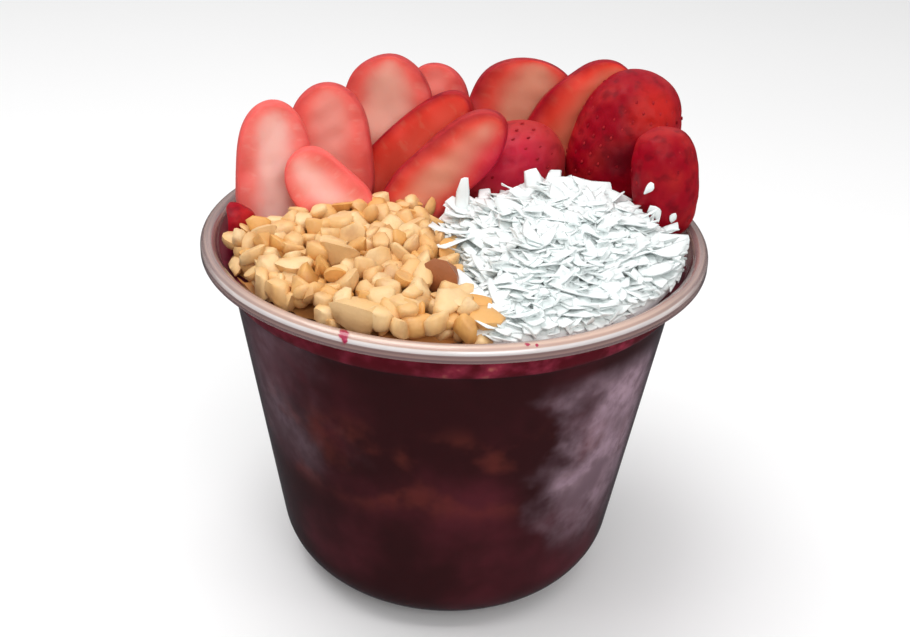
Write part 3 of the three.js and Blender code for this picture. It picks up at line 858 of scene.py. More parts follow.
# The core is roasted darker than most chunks: painted shade in the gaps between them
PEANUT_CORE_SHADE_ROAST = 1.4
PEANUT_WALL_ARC = (196, 277)
PEANUT_ROW_CLOSENESS = 0.8
PEANUT_PACKING = 0.6
PEANUT_OVER = 5.4 * MM
SIZE_SPREAD = (1.4, 2.4)
ROAST_SPREAD = (1.5, 2.2)
CHUNK_RISE = 0.3
KERNEL_SHARE = 0.25
CHUNK_CREASE = math.radians(70)


def settled(spots, radii, ground, ceiling):
    """Heights at which balls dropped one after another at plan points come to rest on the ground or on each
    other. They sink a little into one another, as angular pieces do. One that would stand over its ceiling is
    left out, so its height isn't a number."""
    heights = np.full(len(spots), np.nan)
    for i, spot in enumerate(spots):
        reach = PEANUT_PACKING * (radii[i] + radii[:i])
        gap = np.linalg.norm(spots[:i] - spot, axis=1)
        over = heights[:i] + np.sqrt(np.maximum(reach ** 2 - gap ** 2, 0))
        rest = np.fmax.reduce(over[gap < reach], initial=ground[i])
        heights[i] = rest if rest < ceiling[i] else np.nan
    return heights


def peanut_spots(settings, rng):
    """Where the chunks lie and how long each is: the large ones by name, a row along the cup's wall, and
    others dropped over the heap's core one on another until they would stand too high."""
    middles, lengths, _ = zip(*LARGE_CHUNKS)
    row = wall_spots(PEANUT_WALL_ARC, PEANUT_ROW_CLOSENESS * settings.spacing, rng)
    given = np.concatenate([np.array(middles) * MM, row])
    plan = np.concatenate([heap_spots(PEANUT_HEAP, settings.spacing, rng) for _ in range(settings.layers)])
    plan = np.concatenate([given[:, :2], rng.permutation(plan)])
    spread = rng.beta(*SIZE_SPREAD, len(plan))
    sizes = settings.smallest + (settings.largest - settings.smallest) * spread
    sizes[:len(lengths)] = np.array(lengths) * MM
    dome = heap_top(PEANUT_HEAP, np.minimum(heap_share(PEANUT_HEAP, plan), 1))
    ground = dome - PEANUT_SINK + CHUNK_RISE * sizes
    ground[:len(given)] = given[:, 2]
    ceiling = dome + PEANUT_OVER - CHUNK_RISE * sizes
    ceiling[:len(lengths)] = np.inf
    z = settled(plan, sizes / 2, ground, ceiling)
    resting = ~np.isnan(z)
    return np.concatenate([plan, z[:, None]], 1)[resting], sizes[resting]


def peanut_shape(settings, acai, cup):
    """The heap of peanuts: its core, and chunks and half kernels on it."""
    rng = np.random.default_rng(settings.seed)
    core = heap_core(PEANUT_HEAP, acai, cup, PEANUT_SINK, PEANUT_LUMPS, PEANUT_CORE_SEED,
                     roast=PEANUT_CORE_SHADE_ROAST, outside=1.0)
    spots, sizes = peanut_spots(settings, rng)
    roasts = rng.beta(*ROAST_SPREAD, len(spots))
    roasts[:len(LARGE_CHUNKS)] = [roast for _, _, roast in LARGE_CHUNKS]
    kernel = rng.random(len(spots)) < KERNEL_SHARE
    kernel[:len(LARGE_CHUNKS)] = False
    return joined(
        core,
        peanut_blocks(spots[~kernel], sizes[~kernel], roasts[~kernel], rng),
        peanut_kernels(spots[kernel], sizes[kernel], roasts[kernel], rng),
    )


# Flake of coconut: its rings and section, how much it bows, sways, twists, slants and tapers, and its tips
FLAKE_RINGS = 5
FLAKE_SECTION = np.array([(1, 0), (0.7, 0.5), (-0.7, 0.5), (-1, 0), (-0.7, -0.5), (0.7, -0.5)])
FLAKE_BOW = 0.10
FLAKE_SWAY = 0.08
FLAKE_TWIST = 0.5
FLAKE_SLANT = 0.8
FLAKE_TAPERS = (0.1, 0.55)
FLAKE_TIP = np.array((1.03, 1, 1))
SHADE_SPREAD = (1.2, 3)


def coconut_flakes(settings, spots, turns, long, wide, rng):
    """Flakes of coconut at points in space: a flat six-sided section carried along a bowed, twisted strip,
    whose blunt ends are cut aslant and shut by a point. The mark gives each one's shade."""
    count = len(spots)
    bow = rng.normal(0, FLAKE_BOW, count) * long
    sway = rng.normal(0, FLAKE_SWAY, count) * long
    twist = rng.normal(0, FLAKE_TWIST, count)
    slant = rng.uniform(-FLAKE_SLANT, FLAKE_SLANT, (count, 2))
    step = np.linspace(-1, 1, FLAKE_RINGS)
    taper = 1 - rng.uniform(*FLAKE_TAPERS, (count, 1)) * np.abs(step) ** 3
    path = np.stack([
        long[:, None] / 2 * step,
        sway[:, None] * step ** 2,
        bow[:, None] * step ** 2,
    ], -1)
    across = wide[:, None] / 2 * taper
    u = FLAKE_SECTION[:, 0] * across[..., None]
    v = FLAKE_SECTION[:, 1] * settings.thickness * np.ones_like(u)
    lean = np.where(step < 0, slant[:, :1], slant[:, 1:]) * np.abs(step) ** 2
    angle = twist[:, None] * step
    c, s = np.cos(angle)[..., None], np.sin(angle)[..., None]
    section = np.stack([u * lean[..., None], u * c - v * s, u * s + v * c], -1)
    rings = (path[:, :, None] + section).reshape(count, -1, 3)
    ends = path[:, [0, -1]] * FLAKE_TIP
    points = placed(np.concatenate([rings, ends], 1), turns, spots)
    shade = rng.beta(*SHADE_SPREAD, count)[:, None]
    return tubes(points, len(FLAKE_SECTION), shade=shade)


# Heap of coconut: its core stands over its dome, so that the flakes are half bedded in it; the directions
# between which a row lies along the wall; how far the layers are drawn in to the peak; and how high and how
# steeply the flakes of the first layer lie, and how much more those of each next one do
COCONUT_SINK = -0.8 * MM
COCONUT_LUMPS = 0.5 * MM
COCONUT_CORE_SEED = 31
COCONUT_WALL_ARC = (279, 372)
COCONUT_DRAW_IN = 0.02
FLAKE_LIFT, FLAKE_NEXT_LIFT, FLAKE_LOOSE = 0.2 * MM, 0.6 * MM, 0.6 * MM
FLAKE_TIPPING, FLAKE_NEXT_TIPPING = 0.12, 0.06
WIDTH_SPREAD = (1.4, 1.6)


def coconut_shape(settings, acai, cup):
    """The heap of coconut: its core, layers of flakes that lie more steeply the higher they are, a row along
    the cup's wall, and the large flakes by name."""
    rng = np.random.default_rng(settings.seed)
    rows = [wall_spots(COCONUT_WALL_ARC, settings.spacing, rng)]
    tipping = [np.full(len(rows[0]), FLAKE_TIPPING)]
    for layer in range(settings.layers):
        plan = heap_spots(COCONUT_HEAP, settings.spacing, rng)
        plan = plan + (COCONUT_HEAP["peak"] - plan) * COCONUT_DRAW_IN
        lift = FLAKE_LIFT + FLAKE_NEXT_LIFT * layer + rng.uniform(0, FLAKE_LOOSE, len(plan))
        z = heap_top(COCONUT_HEAP, heap_share(COCONUT_HEAP, plan)) + lift
        rows.append(np.concatenate([plan, z[:, None]], 1))
        tipping.append(np.full(len(plan), FLAKE_TIPPING + FLAKE_NEXT_TIPPING * layer))
    spots = np.concatenate(rows)
    turns = random_turns(rng, len(spots), np.concatenate(tipping))
    long = rng.uniform(settings.shortest, settings.longest, len(spots))
    spread = rng.beta(*WIDTH_SPREAD, len(spots))
    wide = settings.narrowest + (settings.widest - settings.narrowest) * spread
    middles, sizes, poses = (np.array(values) for values in zip(*LARGE_FLAKES))
    large_turns = np.array([turn_matrix(pose) for pose in poses])
    return joined(
        heap_core(COCONUT_HEAP, acai, cup, COCONUT_SINK, COCONUT_LUMPS, COCONUT_CORE_SEED, shade=0.0),
        coconut_flakes(settings, spots, turns, long, wide, rng),
        coconut_flakes(settings, middles * MM, large_turns, *(sizes * MM).T, rng),
    )


def node(tree, kind, sockets=None, **settings):
    """A new shader node. Each input given takes a value, or a link where that is another node's output."""
    made = tree.nodes.new(kind)
    for name, value in settings.items():
        setattr(made, name, value)
    for name, value in (sockets or {}).items():
        if isinstance(value, bpy.types.NodeSocket):
            tree.links.new(value, made.inputs[name])
        else:
            made.inputs[name].default_value = value
    return made


def mix(tree, factor, first, second):
    """A blend of two colours, each an output or three values."""
    colours = [value if isinstance(value, bpy.types.NodeSocket) else (*value, 1) for value in (first, second)]
    made = node(tree, "ShaderNodeMix", {0: factor, 6: colours[0], 7: colours[1]}, data_type="RGBA")
    return made.outputs[2]


def maths(tree, operation, *values):
    made = node(tree, "ShaderNodeMath", dict(enumerate(values)), operation=operation)
    return made.outputs[0]


def times(tree, first, second):
    return maths(tree, "MULTIPLY", first, second)


def between(tree, value, low, high):
    """0 below the low value, 1 above the high one, and a smooth step between."""
    sockets = {"Value": value, "From Min": low, "From Max": high}
    return node(tree, "ShaderNodeMapRange", sockets, interpolation_type="SMOOTHSTEP").outputs["Result"]


def mark(tree, name):
    """A value kept on the vertices."""
    return node(tree, "ShaderNodeAttribute", attribute_name=name).outputs["Fac"]


def band(tree, value, low, high, soft):
    """1 from a low to a high value, and a smooth step to 0 beyond each."""
    return times(tree, between(tree, value, low - soft, low), between(tree, value, high + soft, high))


def new_group(name, values, output):
    """A new node group with a Vector input, inputs of these values and one output; and its inputs."""
    tree = bpy.data.node_groups.new(name, "ShaderNodeTree")
    tree.interface.new_socket("Vector", in_out="INPUT", socket_type="NodeSocketVector")
    for socket, default in values.items():
        made = tree.interface.new_socket(socket, in_out="INPUT", socket_type="NodeSocketFloat")
        made.default_value = default
    tree.interface.new_socket(output, in_out="OUTPUT", socket_type="NodeSocketFloat")
    return tree, node(tree, "NodeGroupInput").outputs


# Shared effects: octaves of the blotches, and how much finer and weaker the grain's second noise is
BLOTCH_DETAIL = 4.0
GRAIN_FINENESS = 3.7
GRAIN_FINE_SHARE = 0.4


def blotches_group():
    """Shared effect: soft-edged blotches of a size, from 0 to 1, above a threshold."""
    if "blotches" in bpy.data.node_groups:
        return bpy.data.node_groups["blotches"]
    tree, given = new_group("blotches", {"Scale": 100, "Low": 0.4, "High": 0.6}, "Mask")
    sockets = {"Vector": given["Vector"], "Scale": given["Scale"], "Detail": BLOTCH_DETAIL}
    noise = node(tree, "ShaderNodeTexNoise", sockets).outputs["Fac"]
    node(tree, "NodeGroupOutput", {"Mask": between(tree, noise, given["Low"], given["High"])})
    return tree


def blotches(tree, vector, scale, low=0.4, high=0.6):
    """Blotches with a surface's own scale and thresholds."""
    sockets = {"Vector": vector, "Scale": scale, "Low": low, "High": high}
    return node(tree, "ShaderNodeGroup", sockets, node_tree=blotches_group()).outputs["Mask"]


def grain_group():
    """Shared effect: a fine uneven height for a surface's bump, coarse and fine noise together."""
    if "grain" in bpy.data.node_groups:
        return bpy.data.node_groups["grain"]
    tree, given = new_group("grain", {"Scale": 1000}, "Height")
    scales = (given["Scale"], times(tree, given["Scale"], GRAIN_FINENESS))
    coarse, fine = (
        node(tree, "ShaderNodeTexNoise", {"Vector": given["Vector"], "Scale": scale}).outputs["Fac"]
        for scale in scales
    )
    node(tree, "NodeGroupOutput", {"Height": maths(tree, "MULTIPLY_ADD", fine, GRAIN_FINE_SHARE, coarse)})
    return tree


def grain(tree, vector, scale, strength, distance):
    """The normal of a surface with fine grain."""
    made = node(tree, "ShaderNodeGroup", {"Vector": vector, "Scale": scale}, node_tree=grain_group())
    return bumped(tree, made.outputs["Height"], strength, distance)


def bumped(tree, height, strength, distance):
    """The normal of a surface with an uneven height."""
    sockets = {"Strength": strength, "Distance": distance, "Height": height}
    return node(tree, "ShaderNodeBump", sockets).outputs["Normal"]


def new_material(name):
    """An empty material, its node tree and its Object coordinates."""
    material = bpy.data.materials.new(name)
    material.use_nodes = True
    tree = material.node_tree
    tree.nodes.clear()
    return material, tree, node(tree, "ShaderNodeTexCoord").outputs["Object"]


def surfaced(material, shader):
    """A material with its surface."""
    node(material.node_tree, "ShaderNodeOutputMaterial", {"Surface": shader})
    return material


def solid(material, sockets):
    """A material that isn't clear, with these inputs of its shader."""
    shader = node(material.node_tree, "ShaderNodeBsdfPrincipled", sockets)
    return surfaced(material, shader.outputs[0])


def scaled_distance(tree, where, middle, half_sizes):
    """Distance from a point, 1 on an ellipsoid about it with the half sizes given, in millimetres."""
    sockets = {"Vector": where, "Location": np.array(middle) * MM, "Scale": np.array(half_sizes) * MM}
    away = node(tree, "ShaderNodeMapping", sockets, vector_type="TEXTURE").outputs[0]
    return node(tree, "ShaderNodeVectorMath", {0: away}, operation="LENGTH").outputs["Value"]


def see_through(tree, shader, tint):
    """A plastic's shader, replaced by plain tinted clearness for the rays that look for lamps."""
    clear = node(tree, "ShaderNodeBsdfTransparent", {"Color": (*tint, 1)}).outputs[0]
    lamp = node(tree, "ShaderNodeLightPath").outputs["Is Shadow Ray"]
    return node(tree, "ShaderNodeMixShader", {0: lamp, 1: shader, 2: clear}).outputs[0]


def aslant(tree, low, high):
    """0 where a surface faces the eye, 1 where it is seen along its own plane."""
    return between(tree, node(tree, "ShaderNodeLayerWeight", {"Blend": 0.5}).outputs["Facing"], low, high)


def clear_plastic(cup):
    """Clear plastic of the cup's side and foot, hardly uneven, with painted shade where it is seen aslant."""
    material, tree, where = new_material("clear_plastic")
    shine = node(tree, "ShaderNodeBsdfPrincipled", {
        # Painted shade: the tint turns dark where the wall is seen aslant
        "Base Color": mix(tree, aslant(tree, 0.7, 0.95), cup.tint, cup.edge),
        "Roughness": times(tree, blotches(tree, where, 60), 0.05),
        "IOR": 1.3,
        "Transmission Weight": 1.0,
    })
    return surfaced(material, see_through(tree, shine.outputs[0], cup.tint))


def milky_plastic(cup, acai):
    """Thicker plastic of the lip: a little milky, with a painted highlight round its section that is
    strongest at the front, and fine rings about the axis, greyer towards its outer edge, painted paler and
    warmer at the front for its light and the nuts seen through it, painted dark where it is seen aslant, and
    with smears of acai."""
    material, tree, where = new_material("milky_plastic")
    place = node(tree, "ShaderNodeSeparateXYZ", {0: where}).outputs
    level = node(tree, "ShaderNodeVectorMath", {0: where, 1: (1, 1, 0)}, operation="MULTIPLY").outputs[0]
    radius = node(tree, "ShaderNodeVectorMath", {0: level}, operation="LENGTH").outputs["Value"]
    out = maths(tree, "SUBTRACT", radius, cup.rim_radius - cup.lip_radius)
    up = maths(tree, "SUBTRACT", place["Z"], cup.height - cup.lip_radius)
    turn = maths(tree, "ARCTAN2", up, out)
    rings = node(tree, "ShaderNodeCombineXYZ", {0: radius, 2: place["Z"]}).outputs[0]
    # Fine rings about the axis; at the front their paler parts are painted streaks of highlight
    streaks = blotches(tree, rings, 1100, 0.35, 0.68)
    # Painted light: the front of the lip is painted paler and warmer, for its light and the nuts seen through
    # it
    front = between(tree, place["Y"], *LIP_LIT_FRONT_Y)
    outer = mix(tree, streaks, cup.lip_edge, cup.lip_tint)
    lit_front_tone = mix(tree, streaks, cup.lip_tint, cup.lip_lit_front)
    inner = mix(tree, front, outer, lit_front_tone)
    tone = mix(tree, between(tree, turn, *LIP_HIGHLIGHT_TURN[:2]), outer, inner)
    # Painted highlight: a white band round the lip's section, strongest at the front
    highlight_strength = maths(tree, "MULTIPLY_ADD", front, 0.6, 0.3)
    painted_highlight = times(tree, band(tree, turn, *LIP_HIGHLIGHT_TURN), highlight_strength)
    tone = mix(tree, painted_highlight, tone, (1, 1, 1))
    edge = times(tree, blotches(tree, where, 900, 0.3, 0.7), 0.6)
    for middle, half_sizes in LIP_SMEARS:
        away = scaled_distance(tree, where, middle, half_sizes)
        inside = between(tree, maths(tree, "ADD", away, edge), 1.3, 0.8)
        tone = mix(tree, inside, tone, acai.smear)
    height = node(tree, "ShaderNodeTexNoise", {"Vector": rings, "Scale": 1200.0}).outputs["Fac"]
    shine = node(tree, "ShaderNodeBsdfPrincipled", {
        # Painted shade: the lip turns dark where it is seen aslant
        "Base Color": mix(tree, aslant(tree, 0.75, 1.0), tone, cup.edge),
        "Roughness": 0.12,
        "IOR": 1.5,
        "Transmission Weight": 0.5,
        "Coat Weight": 0.6,
        "Coat Roughness": 0.1,
        "Normal": bumped(tree, height, 0.25, 0.3 * MM),
    })
    return surfaced(material, see_through(tree, shine.outputs[0], cup.tint))


# Acai's finish: heights between which bits of fruit show, with how softly they end, and how strongly; how far
# the edge of the pale patches on the wall's sides wanders, patches that are partly condensation and partly
# painted reflection; from where to where they thicken on each side, their heights and strength; from where to
# where the lumps behind the collar thicken; and heights over which the top turns crimson
FRUIT_HEIGHTS = (42 * MM, 58 * MM, 8 * MM)
FRUIT_STRENGTH = 0.42
FROST_REFLECTION_WANDER = 17 * MM
LEFT_FROST_REFLECTION_X = (-20 * MM, -38 * MM)
LEFT_FROST_REFLECTION_HEIGHTS = (50 * MM, 74 * MM, 14 * MM)
LEFT_FROST_REFLECTION_STRENGTH = 0.3
RIGHT_FROST_REFLECTION_X = (20 * MM, 36 * MM)
RIGHT_FROST_REFLECTION_FOOT = (14 * MM, 46 * MM)
RIGHT_FROST_REFLECTION_TOP = (75 * MM, 67 * MM)
LUMPY_X = (-20 * MM, 40 * MM)
SMEARED_HEIGHTS = (84.2 * MM, 85.6 * MM)


def acai_finish(acai, cup):
    """Acai: dark maroon in clouds, crimson with paler lumps and crumbs behind the collar, pale patches on the
    wall to the left and right, partly condensation and partly painted reflection, and bits of fruit half way
    up."""
    material, tree, where = new_material("acai")
    place = node(tree, "ShaderNodeSeparateXYZ", {0: where}).outputs
    height = place["Z"]
    tone = mix(tree, blotches(tree, where, 38, 0.42, 0.75), acai.deep, acai.body)
    fruit = times(tree, band(tree, height, *FRUIT_HEIGHTS), blotches(tree, where, 85, 0.5, 0.7))
    tone = mix(tree, times(tree, fruit, FRUIT_STRENGTH), tone, acai.fruit)
    ragged = maths(tree, "SUBTRACT", blotches(tree, where, 55, 0.2, 0.8), 0.5)
    across = maths(tree, "ADD", place["X"], times(tree, ragged, FROST_REFLECTION_WANDER))
    left = times(tree, between(tree, across, *LEFT_FROST_REFLECTION_X), band(tree, height, *LEFT_FROST_REFLECTION_HEIGHTS))
    thins = times(tree, between(tree, height, *RIGHT_FROST_REFLECTION_FOOT), between(tree, height, *RIGHT_FROST_REFLECTION_TOP))
    right = times(tree, between(tree, across, *RIGHT_FROST_REFLECTION_X), thins)
    sides = maths(tree, "MULTIPLY_ADD", left, LEFT_FROST_REFLECTION_STRENGTH, right)
    mottle = times(tree, blotches(tree, where, 90, 0.3, 0.66), blotches(tree, where, 260, 0.2, 0.62))
    frost = times(tree, sides, maths(tree, "MULTIPLY_ADD", mottle, 0.6, 0.4))
    # Painted reflection, with condensation: pale patches on the wall's left and right
    tone = mix(tree, frost, tone, acai.haze_and_reflection)
    to_right = maths(tree, "MULTIPLY_ADD", between(tree, place["X"], *LUMPY_X), 0.6, 0.4)
    lumps = times(tree, blotches(tree, where, 170, 0.4, 0.75), to_right)
    in_collar = mix(tree, lumps, acai.crimson, acai.pink)
    in_collar = mix(tree, blotches(tree, where, 170, 0.62, 0.76), in_collar, acai.crumb)
    over_step = between(tree, height, cup.step_height - 0.3 * MM, cup.step_height + STEP_RISE)
    tone = mix(tree, over_step, tone, in_collar)
    on_wall = mark(tree, "on_wall")
    top = mix(tree, blotches(tree, where, 150), acai.top, acai.swirl)
    top = mix(tree, between(tree, height, *SMEARED_HEIGHTS), top, acai.crimson)
    return solid(material, {
        "Base Color": mix(tree, on_wall, top, tone),
        "Roughness": between(tree, on_wall, -1.0, 1.6),
        "Specular IOR Level": 0.12,
    })


# Strawberry's cut face: how the fibres are stretched across and along, and how strongly they show
FIBRE_SCALE = (1.6, 14, 1)
FIBRE_STRENGTH = 0.36


def strawberry_finish(settings):
    """Strawberry: red skin with darker hollows of painted shade, and cut faces that pale from the rim to a
    creamy core, with fibres across; patches of painted highlight, painted shadow and deeper crimson.
    """
    material, tree, where = new_material("strawberry")
    depth, ripeness, pale = mark(tree, "depth"), mark(tree, "ripeness"), mark(tree, "core")
    lines = node(tree, "ShaderNodeCombineXYZ", {0: mark(tree, "across"), 1: mark(tree, "along")}).outputs[0]
    lines = node(tree, "ShaderNodeMapping", {"Vector": lines, "Scale": FIBRE_SCALE}).outputs[0]
    skin = mix(tree, ripeness, settings.skin_pale, settings.skin_ripe)
    flesh = mix(tree, ripeness, settings.flesh_pale, settings.flesh_ripe)
    core = mix(tree, ripeness, settings.core_pale, settings.core_ripe)
    wobble = maths(tree, "MULTIPLY_ADD", blotches(tree, where, 90, 0.3, 0.7), 0.14, depth)
    paleness = times(tree, between(tree, wobble, 0.86, 0.34), pale)
    fibres = times(tree, blotches(tree, lines, 1.0, 0.45, 0.75), FIBRE_STRENGTH)
    face = mix(tree, maths(tree, "MAXIMUM", paleness, fibres), flesh, core)
    face = mix(tree, between(tree, wobble, 0.74, 1.14), face, skin)
    patches = times(tree, blotches(tree, where, 130, 0.4, 0.75), 0.3)
    skin = mix(tree, patches, skin, flesh)
    # Painted shade in the hollows of the skin, in blotches, stronger on riper pieces
    hollows = times(tree, blotches(tree, where, 330, 0.5, 0.68), times(tree, ripeness, 0.5))
    skin = mix(tree, hollows, skin, settings.hollow_shade)
    tone = mix(tree, between(tree, depth, 0.93, 1.0), face, skin)
    # Patches of painted highlight, painted shadow and deeper crimson
    for middle, half_sizes, patch, strength in BERRY_LIGHT_AND_TONE_PATCHES:
        near = between(tree, scaled_distance(tree, where, middle, half_sizes), 1.0, 0.3)
        tone = mix(tree, times(tree, near, strength), tone, srgb(*patch))
    return solid(material, {
        "Base Color": tone,
        "Roughness": 0.4,
        "Specular IOR Level": 0.12,
        "Subsurface Weight": 0.35,
        "Subsurface Radius": (1.0, 0.35, 0.25),
        "Subsurface Scale": 3 * MM,
        "Normal": grain(tree, where, 700, 0.15, 0.25 * MM),
    })


def seed_finish(settings):
    """Strawberry seeds: reddish brown, some darker."""
    material, tree, where = new_material("strawberry_seed")
    return solid(material, {
        "Base Color": mix(tree, blotches(tree, where, 140), settings.seed, settings.dark_seed),
        "Roughness": 0.6,
        "Specular IOR Level": 0.1,
    })


def peanut_finish(settings):
    """Roasted peanut: creamy cut faces, golden outside, browned in patches, and all over if roasted most; the
    core's darker roast is painted shade in the gaps between the chunks.
    """
    material, tree, where = new_material("peanut")
    roast = mark(tree, "roast")
    tone = mix(tree, between(tree, roast, 0.0, 0.9), settings.cream, settings.golden)
    tone = mix(tree, times(tree, mark(tree, "outside"), 0.5), tone, settings.golden)
    browned = times(tree, blotches(tree, where, 190, 0.5, 0.75), 0.38)
    tone = mix(tree, browned, tone, settings.toasted_and_shade)
    # Roasted most: browned all over; on the core this is painted shade between the chunks
    tone = mix(tree, between(tree, roast, 1.0, 1.8), tone, settings.toasted_and_shade)
    return solid(material, {
        "Base Color": tone,
        "Roughness": 0.45,
        "Subsurface Weight": 0.08,
        "Subsurface Radius": (1.0, 0.6, 0.3),
        "Subsurface Scale": 1 * MM,
        "Normal": grain(tree, where, 700, 0.4, 0.35 * MM),
    })


def coconut_finish(settings):
    """Coconut: white, a little greyer in some flakes, and letting light in."""
    material, tree, where = new_material("coconut")
    tone = mix(tree, mark(tree, "shade"), settings.white, settings.shade)
    return solid(material, {
        "Base Color": tone,
        "Roughness": 0.5,
        "Subsurface Weight": 0.2,
        "Subsurface Radius": (1.0, 1.0, 0.97),
        "Subsurface Scale": 1 * MM,
        "Normal": grain(tree, where, 600, 0.2, 0.25 * MM),
    })


def floor_finish(stage):
    """Pale matt floor with the faintest grain."""
    material, tree, where = new_material("floor")
    tone = mix(tree, blotches(tree, where, 3, 0.3, 0.7), stage.floor, stage.floor * FLOOR_MOTTLE)
    return solid(material, {"Base Color": tone, "Roughness": 0.7})


class ACAIBOWL_OT_cup(bpy.types.Operator):
    """Make the clear cup"""

    bl_idname = "acai_bowl.cup"
    bl_label = "Cup"

    def execute(self, context):
        cup = context.scene.acai_bowl_cup
        shape = cup_shape(cup)
        piece = add_piece("clear_cup", shape, clear_plastic(cup), ["cup"])
        piece.data.materials.append(milky_plastic(cup, context.scene.acai_bowl_acai))
        faces = (shape.quads, shape.triangles)
        heights = np.concatenate([shape.vertices[corners, 2].mean(1) for corners in faces])
        in_lip = heights > cup.height - SKIRT_DROP - cup.wall
        piece.data.polygons.foreach_set("material_index", in_lip.astype(np.int32))
        return {"FINISHED"}


class ACAIBOWL_OT_acai(bpy.types.Operator):
    """Make the acai that fills the cup"""

    bl_idname = "acai_bowl.acai"
    bl_label = "Acai"

    def execute(self, context):
        acai, cup = context.scene.acai_bowl_acai, context.scene.acai_bowl_cup
        add_piece("acai_fill", acai_shape(acai, cup), acai_finish(acai, cup), ["acai"])
        return {"FINISHED"}


class ACAIBOWL_OT_strawberries(bpy.types.Operator):
    """Make the strawberry slices and halves, and their seeds"""

    bl_idname = "acai_bowl.strawberries"
    bl_label = "Strawberries"

    def execute(self, context):
        settings = context.scene.acai_bowl_strawberries
        flesh = strawberry_finish(settings)
        seeds = []
        for i, row in enumerate(STRAWBERRIES):
            shape, spots = strawberry_shapes(settings, row, BERRY_SEED + BERRY_SEED_STEP * i)
            add_piece("strawberry_" + row[0], shape, flesh, [row[0]])
            seeds.append(spots)
        add_piece("strawberry_seeds", joined(*seeds), seed_finish(settings))
        return {"FINISHED"}


class ACAIBOWL_OT_peanuts(bpy.types.Operator):
    """Make the heap of chopped peanuts"""

    bl_idname = "acai_bowl.peanuts"
    bl_label = "Peanuts"

    def execute(self, context):
        scene = context.scene
        shape = peanut_shape(scene.acai_bowl_peanuts, scene.acai_bowl_acai, scene.acai_bowl_cup)
        add_piece("chopped_peanuts", shape, peanut_finish(scene.acai_bowl_peanuts), ["peanuts"],
                  CHUNK_CREASE)
        return {"FINISHED"}


class ACAIBOWL_OT_coconut(bpy.types.Operator):
    """Make the heap of shredded coconut"""

    bl_idname = "acai_bowl.coconut"
    bl_label = "Coconut"

    def execute(self, context):
        scene = context.scene
        shape = coconut_shape(scene.acai_bowl_coconut, scene.acai_bowl_acai, scene.acai_bowl_cup)
        add_piece("shredded_coconut", shape, coconut_finish(scene.acai_bowl_coconut), ["coconut"])
        return {"FINISHED"}


def area_lamp(name, place, size, target, energy):
    """A soft rectangular lamp that faces a point."""
    lamp = bpy.data.lights.new(name, "AREA")
    lamp.energy = energy
    lamp.shape = "RECTANGLE"
    lamp.size, lamp.size_y = size
    thing = bpy.data.objects.new(name, lamp)
    bpy.context.scene.collection.objects.link(thing)
    thing.location = place
    thing.rotation_euler = (target - thing.location).to_track_quat("-Z", "Y").to_euler()


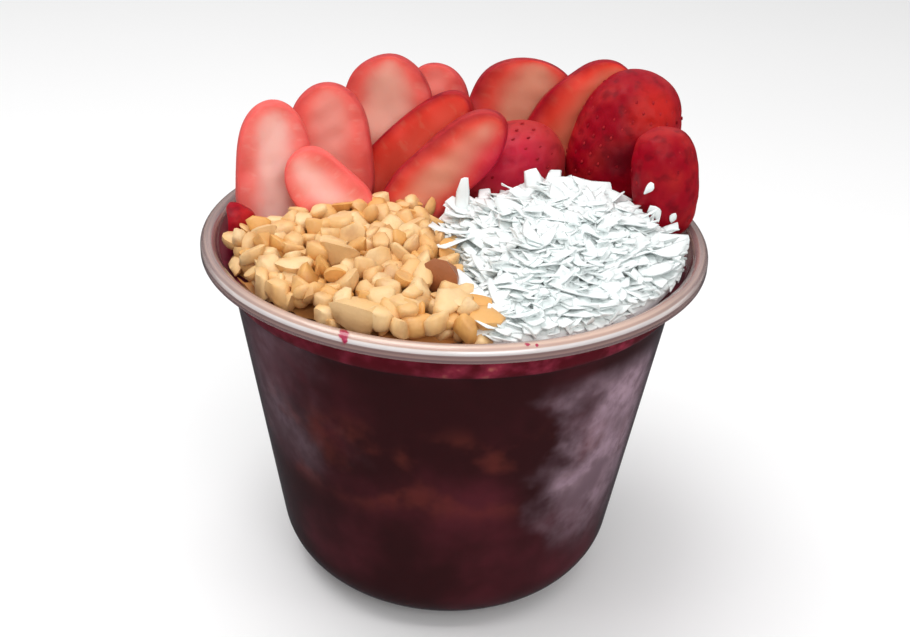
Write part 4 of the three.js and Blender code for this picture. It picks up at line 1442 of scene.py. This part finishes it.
class ACAIBOWL_OT_stage(bpy.types.Operator):
    """Make the floor, the light and the camera"""

    bl_idname = "acai_bowl.stage"
    bl_label = "Stage"

    def execute(self, context):
        stage, scene = context.scene.acai_bowl_stage, context.scene
        self.add_floor(stage)
        self.add_sky(stage)
        middle = (CAD_BOX[0] + CAD_BOX[1]) / 2
        area_lamp("key", *KEY_LAMP, middle, stage.key)
        area_lamp("fill", *FILL_LAMP, middle, stage.fill)
        area_lamp("strip", *STRIP_LAMP, middle, stage.strip)
        self.add_camera(stage)
        scene.view_settings.view_transform = "Standard"
        return {"FINISHED"}

    def add_floor(self, stage):
        """A level square at the foot of the cup."""
        mesh = bpy.data.meshes.new("floor")
        corners = np.array([(-1, -1, 0), (1, -1, 0), (1, 1, 0), (-1, 1, 0)]) * FLOOR_REACH
        mesh.from_pydata(corners.tolist(), [], [(0, 1, 2, 3)])
        mesh.materials.append(floor_finish(stage))
        floor = bpy.data.objects.new("floor", mesh)
        bpy.context.scene.collection.objects.link(floor)
        floor.visible_glossy = False

    def add_sky(self, stage):
        """Even light from above that fades below the horizon."""
        world = bpy.data.worlds.new("studio")
        world.use_nodes = True
        tree = world.node_tree
        way = node(tree, "ShaderNodeTexCoord").outputs["Generated"]
        height = node(tree, "ShaderNodeSeparateXYZ", {0: way}).outputs["Z"]
        light = mix(tree, between(tree, height, -0.1, 0.6), SKY_BELOW, SKY_ABOVE)
        sky = tree.nodes["Background"].inputs
        tree.links.new(light, sky["Color"])
        sky["Strength"].default_value = stage.sky
        bpy.context.scene.world = world

    def add_camera(self, stage):
        """A camera that looks from one point to another, turned about its own line of sight."""
        camera = bpy.data.cameras.new("camera")
        camera.sensor_fit = "HORIZONTAL"
        camera.lens = stage.focal_pixels / PHOTO_WIDTH * camera.sensor_width
        thing = bpy.data.objects.new("camera", camera)
        bpy.context.scene.collection.objects.link(thing)
        start, aim = np.array(stage.camera_from), np.array(stage.camera_to)
        ahead = (aim - start) / np.linalg.norm(aim - start)
        right = np.cross(ahead, (0, 0, 1))
        right /= np.linalg.norm(right)
        up = np.cross(right, ahead)
        c, s = math.cos(stage.camera_roll), math.sin(stage.camera_roll)
        axes = np.eye(4)
        axes[:3] = np.stack([c * right + s * up, c * up - s * right, -ahead, start], 1)
        thing.matrix_world = Matrix(axes.tolist())
        bpy.context.scene.camera = thing


class ACAIBOWL_PT_panel(bpy.types.Panel):
    """Lists the steps of the bowl"""

    bl_idname = "ACAIBOWL_PT_panel"
    bl_label = "Acai bowl"
    bl_space_type = "VIEW_3D"
    bl_region_type = "UI"
    bl_category = "Acai bowl"

    def draw(self, context):
        for step in STEPS:
            self.layout.operator(step.bl_idname)


SETTINGS = {
    "acai_bowl_cup": CupSettings,
    "acai_bowl_acai": AcaiSettings,
    "acai_bowl_strawberries": StrawberrySettings,
    "acai_bowl_peanuts": PeanutSettings,
    "acai_bowl_coconut": CoconutSettings,
    "acai_bowl_stage": StageSettings,
}
STEPS = (
    ACAIBOWL_OT_cup,
    ACAIBOWL_OT_acai,
    ACAIBOWL_OT_strawberries,
    ACAIBOWL_OT_peanuts,
    ACAIBOWL_OT_coconut,
    ACAIBOWL_OT_stage,
)


def register():
    for made in (*SETTINGS.values(), *STEPS, ACAIBOWL_PT_panel):
        bpy.utils.register_class(made)
    for name, group in SETTINGS.items():
        setattr(bpy.types.Scene, name, PointerProperty(type=group))


def unregister():
    for name in SETTINGS:
        delattr(bpy.types.Scene, name)
    for made in reversed((*SETTINGS.values(), *STEPS, ACAIBOWL_PT_panel)):
        bpy.utils.unregister_class(made)


def main():
    register()
    bpy.ops.acai_bowl.cup()
    bpy.ops.acai_bowl.acai()
    bpy.ops.acai_bowl.strawberries()
    bpy.ops.acai_bowl.peanuts()
    bpy.ops.acai_bowl.coconut()
    bpy.ops.acai_bowl.stage()


if __name__ == "__main__":
    main()
